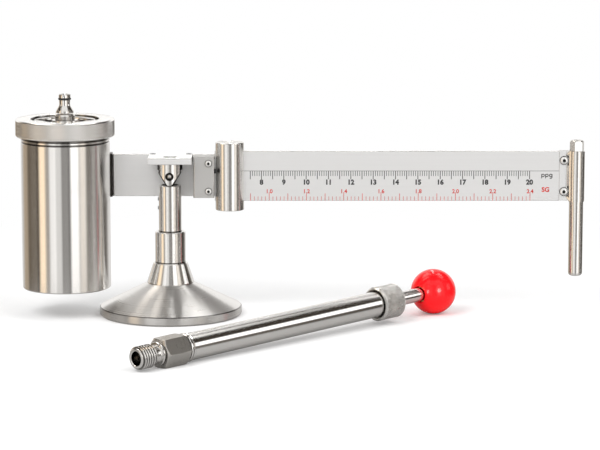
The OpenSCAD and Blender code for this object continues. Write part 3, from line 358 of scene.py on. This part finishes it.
def plain(name, colour, rough, vary, scale, bump, coat=0.0, metallic=0.0, depth=0.05,
          specular=0.5):
    """A moulded, cast or painted surface with slow colour change and fine grain, depth mm deep.
    scale: how fine the colour change is, per metre. coat: weight of a clear gloss over it."""
    mat, g = new_material(name)
    place = g.add("TexCoord").outputs["Object"]
    grain = g.noise(place, scale * 8, 3.0, 0.6)
    slow = g.noise(place, scale, 4.0, 0.55, 0.3)
    dark = tuple(c * (1 - vary) for c in colour)
    light = tuple(min(1.0, c * (1 + vary)) for c in colour)
    mixed = g.mix(g.step(slow, 0.3, 0.7), rgb(*dark), rgb(*light))
    r = g.math("ADD", rough, g.about_zero(slow, rough * 0.5), clamp=True)
    bumped = g.add("Bump", {"Strength": bump, "Distance": depth * MM, "Height": grain})
    shader = g.add("BsdfPrincipled", {
        "Base Color": mixed, "Metallic": metallic, "Roughness": r, "IOR": 1.5,
        "Normal": bumped.outputs[0], "Coat Weight": coat, "Coat Roughness": 0.03,
        "Specular IOR Level": specular})
    g.add("OutputMaterial", {"Surface": shader.outputs[0]})
    return mat


def glass(name, tint, rough, ior):
    """A clear piece with a faint change of tint and polish."""
    mat, g = new_material(name)
    place = g.add("TexCoord").outputs["Object"]
    slow = g.noise(place, 900.0, 2.0)
    mixed = g.mix(slow, rgb(*tint), rgb(*(min(1.0, c * 1.04) for c in tint)))
    shader = g.add("BsdfPrincipled", {
        "Base Color": mixed, "Roughness": g.math("MULTIPLY", slow, rough), "IOR": ior,
        "Transmission Weight": 1.0})
    g.add("OutputMaterial", {"Surface": shader.outputs[0]})
    return mat


def dress(material, *names):
    for name in names:
        slots = NODES[name].data.materials
        slots.clear()
        slots.append(material)


# Meshes

def place_mesh(name, mesh, body):
    obj = bpy.data.objects.new(name, mesh)
    SCENE.collection.objects.link(obj)
    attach(obj, body)
    return obj


def finish_mesh(name, mesh, body, materials, replaced, angle):
    """Shades the mesh smooth below the angle, and puts it in the place of the replaced node."""
    for material in materials:
        mesh.materials.append(material)
    mesh.polygons.foreach_set("use_smooth", [True] * len(mesh.polygons))
    mesh.set_sharp_from_angle(angle=math.radians(angle))
    mesh.update()
    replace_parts(place_mesh(name, mesh, body), replaced)


def revolve(name, rows, places, closed=True, second=()):
    """Mesh of rings: rows is an array [row, turn] of (radius, height), turned about each place's
    Z. An open one gets flat ends. second: row ranges that take the second material."""
    rows = np.asarray(rows, float)
    count, turns = rows.shape[:2]
    a = np.linspace(0, 2 * math.pi, turns, endpoint=False)
    x, y, z = rows[..., 0] * np.cos(a), rows[..., 0] * np.sin(a), rows[..., 1]
    ring = np.stack([x, y, z, np.ones_like(x)], -1).reshape(-1, 4)
    i = np.arange(count if closed else count - 1)[:, None]
    j = np.arange(turns)[None, :]
    i2, j2 = (i + 1) % count, (j + 1) % turns
    corners = [i * turns + j, i * turns + j2, i2 * turns + j2, i2 * turns + j]
    quads = np.stack(corners, -1).reshape(-1, 4)
    row_slot = np.zeros(len(i), int)
    for first, last in second:
        row_slot[first:last] = 1
    points, faces, slots = [], [], []
    for place in places:
        slots += list(np.repeat(row_slot, turns))
        start = len(points)
        points += [tuple(c) for c in (ring @ np.array(place).T)[:, :3]]
        faces += [tuple(int(v) + start for v in q) for q in quads]
        if not closed:
            last = start + (count - 1) * turns
            faces += [tuple(range(start, start + turns)), tuple(range(last, last + turns))]
            slots += [0, row_slot[-1]]
    mesh = bpy.data.meshes.new(name)
    mesh.from_pydata(points, [], faces)
    mesh.polygons.foreach_set("material_index", slots)
    bm = bmesh.new()
    bm.from_mesh(mesh)
    bmesh.ops.recalc_face_normals(bm, faces=bm.faces)
    bm.to_mesh(mesh)
    bm.free()
    return mesh


def ring_rows(profile, turns):
    """Repeats a list of (radius, height) round the axis."""
    p = np.asarray(profile, float)[:, None, :]
    return np.repeat(p, turns, axis=1)


def with_heights(radii, heights):
    """Rows of (radius, height) from radii [row, turn] and one height for each row."""
    return np.stack([radii, np.repeat(heights[:, None], radii.shape[1], 1)], -1)


def angles(turns):
    return np.linspace(0, 2 * math.pi, turns, endpoint=False)


def knurled_band(radius, turns, low, high, rows, count, pitch, depth):
    """Rows of a diamond knurl, two crossing sets of V grooves below the radius, which runs out
    towards both ends."""
    heights = np.linspace(low, high, rows)
    run_out = 0.3 * MM
    fade = np.clip(np.minimum(heights - low, high - heights) / run_out, 0, 1)[:, None]
    u = angles(turns)[None, :] * count / (2 * math.pi)
    v = heights[:, None] / pitch
    a = np.abs(((u + v) % 1.0) * 2 - 1)
    b = np.abs(((u - v) % 1.0) * 2 - 1)
    return with_heights(radius - depth * np.maximum(a, b) * fade, heights)


def hexagon(theta, flat):
    """Radius of a hexagon with that half width across its flats, which face 0, 60 ... degrees."""
    sector = math.pi / 3
    return flat / np.cos((theta + sector / 2) % sector - sector / 2)


def build_cap_ring(material):
    low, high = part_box("cap_ring")
    z0, z1, r = low.z, high.z, (high.x - low.x) / 2
    turns = 1008
    skirt_r, lid_r = 38.18 * MM, 29.3 * MM    # bores over the cup and over the lid
    step_z = z1 - (z1 - z0) * 0.42            # where one bore meets the other
    lower = [(skirt_r, z0 + 0.9 * MM), (skirt_r + 0.72 * MM, z0), (r - 0.9 * MM, z0),
             (r - 0.35 * MM, z0 + 0.2 * MM)]
    band = knurled_band(r - 0.02 * MM, turns, z0 + 1.0 * MM, z1 - 1.3 * MM, 46,
                        126, 2.1 * MM, 0.50 * MM)
    upper = [(r - 0.25 * MM, z1 - 0.9 * MM), (r - 0.7 * MM, z1 - 0.22 * MM), (r - 1.3 * MM, z1),
             (lid_r + 0.5 * MM, z1), (lid_r + 0.15 * MM, z1 - 0.12 * MM),
             (lid_r, z1 - 0.4 * MM), (lid_r, step_z), (skirt_r, step_z)]
    rows = np.concatenate([ring_rows(lower, turns), band, ring_rows(upper, turns)])
    mesh = revolve("cap_ring_knurled", rows, [Matrix.Translation(CUP_AXIS[0])])
    finish_mesh("cap_ring_knurled", mesh, "ring", [material], "cap_ring", 40)


def build_pump_nut(material):
    s0, length, r = 271.4 * MM, 24.2 * MM, 14.5 * MM
    s1 = s0 + length
    turns = 720
    thread_r, barrel_r, rod_r = 8.5 * MM, 11.0 * MM, 6.43 * MM   # bores, from the barrel's end
    thread_end, rod_start = s0 + length * 0.52, s0 + length * 0.86
    start = [(thread_r, thread_end), (barrel_r, thread_end), (barrel_r, s0 + 2.6 * MM),
             (12.1 * MM, s0 + 2.5 * MM), (12.2 * MM, s0 + 0.3 * MM), (12.5 * MM, s0),
             (13.1 * MM, s0), (14.1 * MM, s0 + 1.2 * MM)]
    band = knurled_band(r, turns, s0 + 1.5 * MM, s1 - 1.7 * MM, 84, 60, 1.5 * MM, 0.36 * MM)
    end = [(14.2 * MM, s1 - 1.4 * MM), (13.0 * MM, s1 - 0.1 * MM), (12.7 * MM, s1),
           (6.9 * MM, s1), (rod_r, s1 - 0.4 * MM), (rod_r, rod_start), (thread_r, rod_start)]
    rows = np.concatenate([ring_rows(start, turns), band, ring_rows(end, turns)])
    mesh = revolve("pump_nut_knurled", rows, [PUMP_PLACE])
    finish_mesh("pump_nut_knurled", mesh, "pump_body", [material], "pump_nut", 40)


def build_screws(name, node, head_r, head_h, shank_r, shank_len, points, materials):
    """Button heads: a bright dome, with painted shade on the rim and in the hexagonal socket."""
    turns = 96
    socket = hexagon(angles(turns), head_r * 0.36)
    foot_r, foot_h, dome_h, dome_end = head_r * 0.87, head_h * 0.32, head_h * 0.64, 58
    sides = [(shank_r - 0.3 * MM, -shank_len), (shank_r, 0.3 * MM - shank_len), (shank_r, 0.0),
             (head_r * 0.97, 0.0), (head_r, head_h * 0.06), (head_r, head_h * 0.14),
             (head_r * 0.90, head_h * 0.18), (foot_r, foot_h)]
    sine, flat = math.sin(math.radians(dome_end)), 1 - math.cos(math.radians(dome_end))
    dome = [(foot_r * (1 - 0.42 * (1 - math.cos(a)) / flat), foot_h + dome_h * math.sin(a) / sine)
            for a in np.radians(np.linspace(0, dome_end, 9))[1:]]
    hole = np.stack([
        np.stack([socket + 0.10 * MM, np.full(turns, head_h)], -1),
        np.stack([socket, np.full(turns, head_h * 0.95)], -1),
        np.stack([socket * 0.96, np.full(turns, head_h * 0.18)], -1)])
    rows = np.concatenate([ring_rows(sides, turns), ring_rows(dome, turns), hole])
    places = [Matrix.Translation(p) @ Matrix.Rotation(math.pi / 2, 4, "X") for p in points]
    # the rim and the socket take the second, black material: painted shade
    mesh = revolve(name, rows, places, closed=False,
                   second=[(3, 7), (len(rows) - 2, len(rows))])
    finish_mesh(name, mesh, "balance", materials, node, 35)


def build_pump_nose(materials):
    """Nose with a helical thread, a hexagon and two beads; heights run along the pump."""
    turns = 240
    theta = angles(turns)
    bore, hex_len, bead_len = 5.7 * MM, 25.0 * MM, 5.5 * MM
    barrel_r, spigot_r, spigot = 11.0 * MM, 8.5 * MM, 9.9 * MM
    bead_s = HEX_S + hex_len
    barrel_s = bead_s + bead_len

    thread_r, pitch, thread_s, thread_len = 9.4 * MM, 2.4 * MM, 0.9 * MM, 15.6 * MM
    root = thread_r * 0.86
    front = [(bore + 0.1 * MM, HEX_S * 0.85), (bore, HEX_S * 0.85 - 0.2 * MM),
             (bore, 0.5 * MM), (bore + 0.5 * MM, 0.0), (root - 0.6 * MM, 0.0),
             (root - 0.1 * MM, 0.4 * MM)]
    heights = np.linspace(thread_s, thread_len, 110)[:, None]
    turn = (heights / pitch - theta[None, :] / (2 * math.pi)) % 1.0
    ridge = np.clip((1 - np.abs(2 * turn - 1) - 0.10) / 0.78, 0, 1)
    fade = np.clip((thread_len - heights) / (1.0 * MM), 0, 1)
    lead = np.clip((heights - thread_s) / (0.9 * MM), 0, 1)
    thread = with_heights(root + (thread_r - root) * ridge * np.minimum(fade, lead),
                          heights[:, 0])
    neck = [(thread_r * 0.84, thread_len + 0.5 * MM), (thread_r * 0.84, HEX_S - 3.1 * MM),
            (thread_r * 0.99, HEX_S - 2.8 * MM), (thread_r * 1.03, HEX_S - 2.3 * MM),
            (thread_r * 1.03, HEX_S - 1.6 * MM), (thread_r * 0.97, HEX_S - 1.2 * MM),
            (thread_r * 0.80, HEX_S - 0.9 * MM), (thread_r * 0.80, HEX_S)]

    flat = HEX_AF / 2
    along = np.array([0.0, 0.25, 0.6, 1.0, 1.3, 1.5, 4.0, 12.5, 21.0, 23.5, 23.7, 24.0, 24.4,
                      24.75, 25.0]) * MM
    cone = flat - 0.35 * MM + np.minimum(along, hex_len - along) * 1.35
    body = with_heights(np.minimum(hexagon(theta, flat)[None, :], cone[:, None]), HEX_S + along)

    # two beads with a groove between them: (radius, part of their length)
    bead, groove = barrel_r * 1.06, barrel_r * 0.95
    beads = [(bead * 0.97, 0.16), (bead, 0.26), (bead, 0.40), (bead * 0.97, 0.47),
             (groove, 0.49), (groove, 0.56), (bead * 0.98, 0.60), (bead * 0.995, 0.70),
             (bead * 0.995, 0.86)]
    seal_r, seal_s0, seal_s1 = 7.0 * MM, barrel_s + spigot * 0.42, barrel_s + spigot * 0.58
    tail = [(barrel_r * 0.93, bead_s + 0.05 * MM), (barrel_r * 0.93, bead_s + bead_len * 0.12)]
    tail += [(radius, bead_s + bead_len * part) for radius, part in beads]
    tail += [(barrel_r, barrel_s - 0.1 * MM), (spigot_r, barrel_s), (spigot_r, seal_s0),
             (seal_r, seal_s0), (seal_r, seal_s1), (spigot_r, seal_s1),
             (spigot_r, barrel_s + spigot), (bore * 0.35, barrel_s + spigot),
             (bore * 0.35, HEX_S * 0.86)]

    parts = [ring_rows(front, turns), thread, ring_rows(neck, turns), body,
             ring_rows(tail, turns)]
    # the hexagon's rows take the second material, painted darker as shade
    hexagon_row = sum(len(part) for part in parts[:3])
    mesh = revolve("pump_nose_threaded", np.concatenate(parts), [PUMP_PLACE],
                   second=[(hexagon_row, hexagon_row + len(body) - 1)])
    finish_mesh("pump_nose_threaded", mesh, "pump_body", materials,
                "pump_nose", 28)


def soften(name, width, materials, turned_from=math.inf):
    """A copy of a flat-sided node whose sharp edges are broken by a small bevel, as milled pieces
    have. The bevels take the second material, and faces beyond turned_from along X the third."""
    mesh = NODES[name].data.copy()
    bm = bmesh.new()
    bm.from_mesh(mesh)
    bmesh.ops.remove_doubles(bm, verts=bm.verts, dist=0.001 * MM)
    bmesh.ops.dissolve_limit(bm, angle_limit=math.radians(1.0), verts=bm.verts, edges=bm.edges)
    sharp = [e for e in bm.edges if len(e.link_faces) == 2
             and e.calc_face_angle() > math.radians(40) and e.calc_length() > width * 4]
    bmesh.ops.bevel(bm, geom=sharp, offset=width, segments=2, profile=0.5, affect="EDGES",
                    clamp_overlap=True, material=1)
    for face in bm.faces:
        if face.calc_center_median().x > turned_from:
            face.material_index = 2
    flat = [face.calc_area() > 3.0 * MM * MM and face.material_index == 0 for face in bm.faces]
    mesh.materials.clear()
    mesh.clear_geometry()
    bm.to_mesh(mesh)
    bm.free()
    finish_mesh(name + "_broken_edges", mesh, "balance", materials, name, 30)
    mesh.polygons.foreach_set("use_smooth", [not f for f in flat])
    mesh.update()


# Printed scale, on the beam's front

BEAM_Y = 4.0 * MM
INK = 0.04 * MM
MARK_ZERO_X, MARK_STEP = 78.6 * MM, 19.23 * MM   # place of the 8 mark, and one whole unit
UNITS_PER_GRAVITY = 8.345                        # upper scale's units to one of the lower scale's
LINE_X0, LINE_X1, LINE_Z0, LINE_Z1 = 63.6 * MM, 334.7 * MM, 123.95 * MM, 124.25 * MM
BLACK_END_X = 318 * MM
BLACK_LONG_Z, BLACK_SHORT_Z = 116.9 * MM, 119.7 * MM   # where its long and short marks end
BLACK_WORD_Z, BLACK_WORD_H = 112.4 * MM, 4.1 * MM
RED_LOW_Z, RED_LONG_Z, RED_SHORT_Z = 98.25 * MM, 104.5 * MM, 101.9 * MM
RED_WORD_Z, RED_WORD_H = 104.8 * MM, 3.4 * MM
FONT_RISE = 1.42                                 # font size to the height of a digit


def marks(name, boxes, words, strokes, material):
    """Thin printed marks: boxes (x0, x1, z0, z1), words (text, x, z, height, bold) and strokes
    (points, half width)."""
    bm = bmesh.new()
    for x0, x1, z0, z1 in boxes:
        vs = [bm.verts.new((x, y, z)) for y in (BEAM_Y - INK, BEAM_Y) for x, z in
              ((x0, z0), (x1, z0), (x1, z1), (x0, z1))]
        for f in ((0, 1, 2, 3), (7, 6, 5, 4), (0, 4, 5, 1), (1, 5, 6, 2), (2, 6, 7, 3),
                  (3, 7, 4, 0)):
            bm.faces.new([vs[i] for i in f])
    mesh = bpy.data.meshes.new(name)
    depsgraph = bpy.context.evaluated_depsgraph_get()
    drawn = []
    for text, x, z, height, bold in words:
        curve = bpy.data.curves.new("word", "FONT")
        curve.body = text
        curve.align_x = "CENTER"
        size = height * FONT_RISE
        curve.extrude = INK / 2 / size
        curve.offset = bold
        curve.resolution_u = 4
        drawn.append((curve, x, z, Matrix.Scale(size, 4)))
    for points, half in strokes:
        curve = bpy.data.curves.new("stroke", "CURVE")
        curve.dimensions = "3D"
        curve.bevel_depth = half
        curve.bevel_resolution = 2
        curve.use_fill_caps = True
        spline = curve.splines.new("POLY")
        spline.points.add(len(points) - 1)
        for point, (x, z) in zip(spline.points, points):
            point.co = (x, z, 0, 1)
        drawn.append((curve, 0.0, 0.0, Matrix.Diagonal((1, 1, INK / 2 / half, 1))))
    for curve, x, z, scale in drawn:
        obj = bpy.data.objects.new("drawn", curve)
        SCENE.collection.objects.link(obj)
        depsgraph.update()
        made = bpy.data.meshes.new_from_object(obj.evaluated_get(depsgraph))
        made.transform(Matrix.Translation((x, BEAM_Y - INK / 2, z))
                       @ Matrix.Rotation(math.pi / 2, 4, "X") @ scale)
        bm.from_mesh(made)
        bpy.data.objects.remove(obj)
        bpy.data.meshes.remove(made)
        bpy.data.curves.remove(curve)
    bmesh.ops.recalc_face_normals(bm, faces=bm.faces)
    bm.to_mesh(mesh)
    bm.free()
    mesh.materials.append(material)
    place_mesh(name, mesh, "balance")


def small_letters(text, x, z, height, half):
    """Strokes of the letters p and g, height being that of their bowls."""
    bowl = [(0.5 + 0.42 * math.cos(a), 0.5 + 0.42 * math.sin(a))
            for a in np.linspace(0, 2 * math.pi, 21)]
    hook = [(0.5 + 0.42 * math.cos(a), -0.12 + 0.34 * math.sin(a))
            for a in np.linspace(0, -2.5, 9)]
    shapes = {"p": [bowl, [(0.08, 0.95), (0.08, -0.48)]], "g": [bowl, [(0.92, 0.95)] + hook]}
    spacing = 1.28
    return [([(x + (px + spacing * i) * height, z + pz * height) for px, pz in line], half)
            for i, letter in enumerate(text) for line in shapes[letter]]


def mark_x(n):
    return MARK_ZERO_X + (n - 8) * MARK_STEP


def build_scales(black, red):
    """Upper scale in pounds per gallon by tenths, lower one in specific gravity by fiftieths."""
    boxes, words = [(LINE_X0, LINE_X1, LINE_Z0, LINE_Z1)], []
    for i in range(75, 201):
        x = mark_x(i / 10)
        if x > BLACK_END_X:
            continue
        major = i % 5 == 0
        half = (0.30 if major else 0.22) * MM
        boxes.append((x - half, x + half, BLACK_LONG_Z if major else BLACK_SHORT_Z, LINE_Z0))
        if i % 10 == 0:
            words.append((str(i // 10), x, BLACK_WORD_Z, BLACK_WORD_H, 0.05))
    unit = small_letters("ppg", 319.6 * MM, 118.9 * MM, 2.6 * MM, 0.36 * MM)
    marks("scale_upper", boxes, words, unit, black)
    boxes, words = [], []
    for i in range(45, 121):
        x = mark_x(UNITS_PER_GRAVITY * (i / 50))
        major = i % 5 == 0
        half = (0.24 if major else 0.18) * MM
        boxes.append((x - half, x + half, RED_LOW_Z, RED_LONG_Z if major else RED_SHORT_Z))
        if i % 10 == 0:
            words.append((f"{i / 50:.1f}", x, RED_WORD_Z, RED_WORD_H, 0.025))
    words.append(("SG", 323.2 * MM, 106.0 * MM, 3.9 * MM, 0.035))
    marks("scale_lower", boxes, words, [], red)


# Putting it together

build_camera()
build_world()
build_floor()
build_lamp("key", (-1.1, -1.6, 2.1), 1.6, 34.0)
build_lamp("fill", (1.5, -0.9, 1.7), 1.8, 16.0)
build_ball_lamps()
SCENE.view_settings.view_transform = "Standard"

# Painted shade in grooves, gaps and at the steps where parts meet, as steel() takes it
collar_top, post_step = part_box("base_collar")[1].z / MM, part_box("lower_post")[1].z / MM
STAND_STEPS = [(13.4, 13.6, 0.80, collar_top - 1.0, collar_top + 0.9),
               (10.2, 10.6, 0.80, post_step - 1.0, post_step + 0.9)]
FOOT_RIM = [(61.25, 61.32, 0.75, 7.15, 8.0)]
CUP_NECK = [(37.5, 37.9, 0.85, 149.0, 156.0)]
# painted shade in the lid's trough, below this height
LID_TROUGH_SHADE = (165.6, 168.2, 0.85)
RING_GROOVES = [(42.0, 42.4, 0.20, 156.0, 169.0), (29.4, 29.6, 0.8, 160.0, 169.9)]
NOSE_GROOVES = [(8.3, 9.2, 0.85, 0.9, 15.2), (10.5, 11.1, 0.85, 48.8, 54.4)]
NUT_GROOVES = [(14.14, 14.4, 0.40, 272.8, 294.0), (11.1, 12.6, 0.95, 271.6, 276.0)]

# Steel pieces
# the last, darker steel stands for shade: on broken edges and on the pin in its hole
STEEL, PALE, SHADE_DULL = (0.80, 0.79, 0.775), (0.90, 0.895, 0.885), (0.62, 0.61, 0.60)
ALONG_X, ALONG_Y, ALONG_Z = (1, 0, 0), (0, 1, 0), (0, 0, 1)
turned = dict(rough=0.23, aniso=1.0)
brushing = dict(rough=0.50, aniso=0.6, line=0.22, streak=0.09, bump=0.10, metallic=0.5)

stand = steel("stand_steel", STEEL, axis=STAND_AXIS, line=0.35, painted_shade=STAND_STEPS, **turned)
dress(stand, "lower_post", "upper_post", "knife_stub")
foot = steel("base_steel", (0.76, 0.75, 0.735), 0.28, 1.0, axis=STAND_AXIS, line=0.6,
             streak=0.012, bump=0.015, painted_shade=FOOT_RIM)
dress(foot, "stand_base")
dress(steel("collar_steel", STEEL, 0.20, 0.9, axis=STAND_AXIS, line=0.4), "base_collar")
cup = steel("cup_steel", STEEL, axis=CUP_AXIS, line=0.4, painted_shade=CUP_NECK, **turned)
dress(cup, "cup_body", "cup_base")
valve = steel("valve_steel", STEEL, 0.15, 0.8, axis=CUP_AXIS, line=0.3, seed=2.0)
dress(valve, "valve_housing", "valve_stem")
dress(steel("lid_steel", STEEL, 0.18, 0.6, axis=CUP_AXIS, line=0.5, low_shade=LID_TROUGH_SHADE), "lid")
rider = steel("rider_steel", STEEL, axis=RIDER_AXIS, line=0.3, seed=3.0, **turned)
dress(rider, "rider_weight")
tube = steel("tube_steel", STEEL, axis=TUBE_AXIS, line=0.3, seed=5.0, **turned)
dress(tube, "shot_tube", "shot_cap", "cap_washer")
pump = steel("pump_steel", STEEL, 0.14, 0.8, axis=PUMP_AXIS, line=0.35, streak=0.015,
             bump=0.012, seed=7.0)
dress(pump, "pump_barrel", "plunger_rod")
nose = steel("nose_steel", STEEL, 0.18, 0.5, axis=PUMP_AXIS, line=0.35, seed=8.0,
             painted_shade=NOSE_GROOVES)
# the nose's hexagon: its own steel, painted darker as shade on its facets
shaded_hexagon = steel("hexagon_steel_shaded", (0.56, 0.545, 0.52), 0.28, 0.3, axis=PUMP_AXIS,
                     line=0.35, seed=8.5)
nut = steel("nut_steel", (0.80, 0.79, 0.77), 0.26, 0.2, axis=PUMP_AXIS, line=0.3, seed=9.0,
            painted_shade=NUT_GROOVES)
brushed = steel("brushed_steel_x", (0.95, 0.945, 0.935), along=ALONG_X, **brushing)
# steel of the broken edges, painted darker as the dark reflection along the edges
shaded_edge = steel("edge_steel_shaded", SHADE_DULL, 0.22, 0.3, along=ALONG_X, line=0.2)
# the joint block: brushed steel painted darker, as shade
shaded_grey = steel("brushed_steel_shaded_grey", (0.55, 0.545, 0.535), along=ALONG_Z, seed=6.0, **brushing)
# black steel: the knife and its seat are blackened, which also stands for the shade in the pin's
# hole; on the arm's saddle and in the screws' rims and sockets it is painted shade
black = steel("black_steel", (0.035, 0.032, 0.029), 0.30, 0.4, along=ALONG_Y, line=0.2)
dress(black, "fulcrum_seat", "knife_edge", "arm_saddle")
hard = steel("hard_steel", (0.46, 0.46, 0.47), 0.30, 0.4, along=ALONG_Y, line=0.2)
dress(hard, "seat_screws", "level_screws", "rider_screw", "rider_spring", "stem_nut")
bright = steel("screw_steel", (0.93, 0.93, 0.92), 0.30, 0.2, along=ALONG_X, line=0.15,
               streak=0.03, metallic=0.7)
dress(bright, "rider_ball")
# the pin is painted darker, as shade in its hole
dress(steel("pin_steel_shaded", SHADE_DULL, 0.12, 0.2, along=ALONG_Y, line=0.2), "knife_pin")

# Pieces of other materials: colour, roughness, change of colour, its fineness, grain
rubber = plain("black_rubber", (0.022, 0.022, 0.023), 0.42, 0.3, 500.0, 0.25)
dress(rubber, "stop_stud", "lid_seal", "housing_seal", "valve_o_ring", "valve_seal",
      "nose_seal", "rod_seal", "piston_rings")
dress(plain("white_plastic", (0.84, 0.83, 0.80), 0.45, 0.04, 200.0, 0.1), "slip_washer")
lead = plain("lead", (0.24, 0.25, 0.27), 0.55, 0.2, 500.0, 0.6, metallic=1.0, depth=0.2)
dress(lead, "lead_shot")
brass = steel("brass", (0.86, 0.62, 0.28), 0.28, 0.6, axis=PUMP_AXIS, line=0.3)
dress(brass, "rod_gland", "piston", "knob_insert")
ball = plain("red_plastic", (0.84, 0.006, 0.010), 0.22, 0.04, 60.0, 0.02, coat=0.3,
             specular=0.2)
dress(ball, "ball_knob")
dress(glass("vial_glass", (0.93, 0.97, 0.94), 0.03, 1.47), "level_vial")
dress(glass("vial_liquid", (0.34, 0.46, 0.08), 0.02, 1.36), "level_liquid")

# Finer copies of pieces
SLEEVE_X = 340.6 * MM     # the end bracket is a turned sleeve from here on
for name in ("arm", "graduated_beam", "level_block"):
    soften(name, 0.35 * MM, [brushed, shaded_edge])
soften("end_bracket", 0.30 * MM, [brushed, shaded_edge, tube], SLEEVE_X)
soften("joint_block", 0.60 * MM, [shaded_grey, shaded_edge])
build_cap_ring(steel("ring_steel", PALE, 0.22, 0.4, axis=CUP_AXIS, line=0.3,
                     painted_shade=RING_GROOVES))
build_pump_nut(nut)
build_pump_nose([nose, shaded_hexagon])

# Screw heads: radius, part of it that is height, shank radius and length, place of the face
for name, head_r, rise, shank_r, shank_len, face_y in (
        ("joint_screw", 3.1 * MM, 0.6, 1.9 * MM, 19.2 * MM, -3.0 * MM),
        ("end_screw", 3.8 * MM, 0.55, 2.1 * MM, 4.8 * MM, BEAM_Y)):
    low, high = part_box(name + "s")
    points = [(low.x + head_r, face_y, z) for z in (low.z + head_r, high.z - head_r)]
    build_screws(name + "_heads", name + "s", head_r, head_r * rise, shank_r, shank_len,
                 points, [bright, black])

build_scales(plain("black_ink", (0.03, 0.03, 0.032), 0.5, 0.35, 900.0, 0.1),
             plain("red_ink", (0.62, 0.03, 0.02), 0.5, 0.25, 900.0, 0.1))
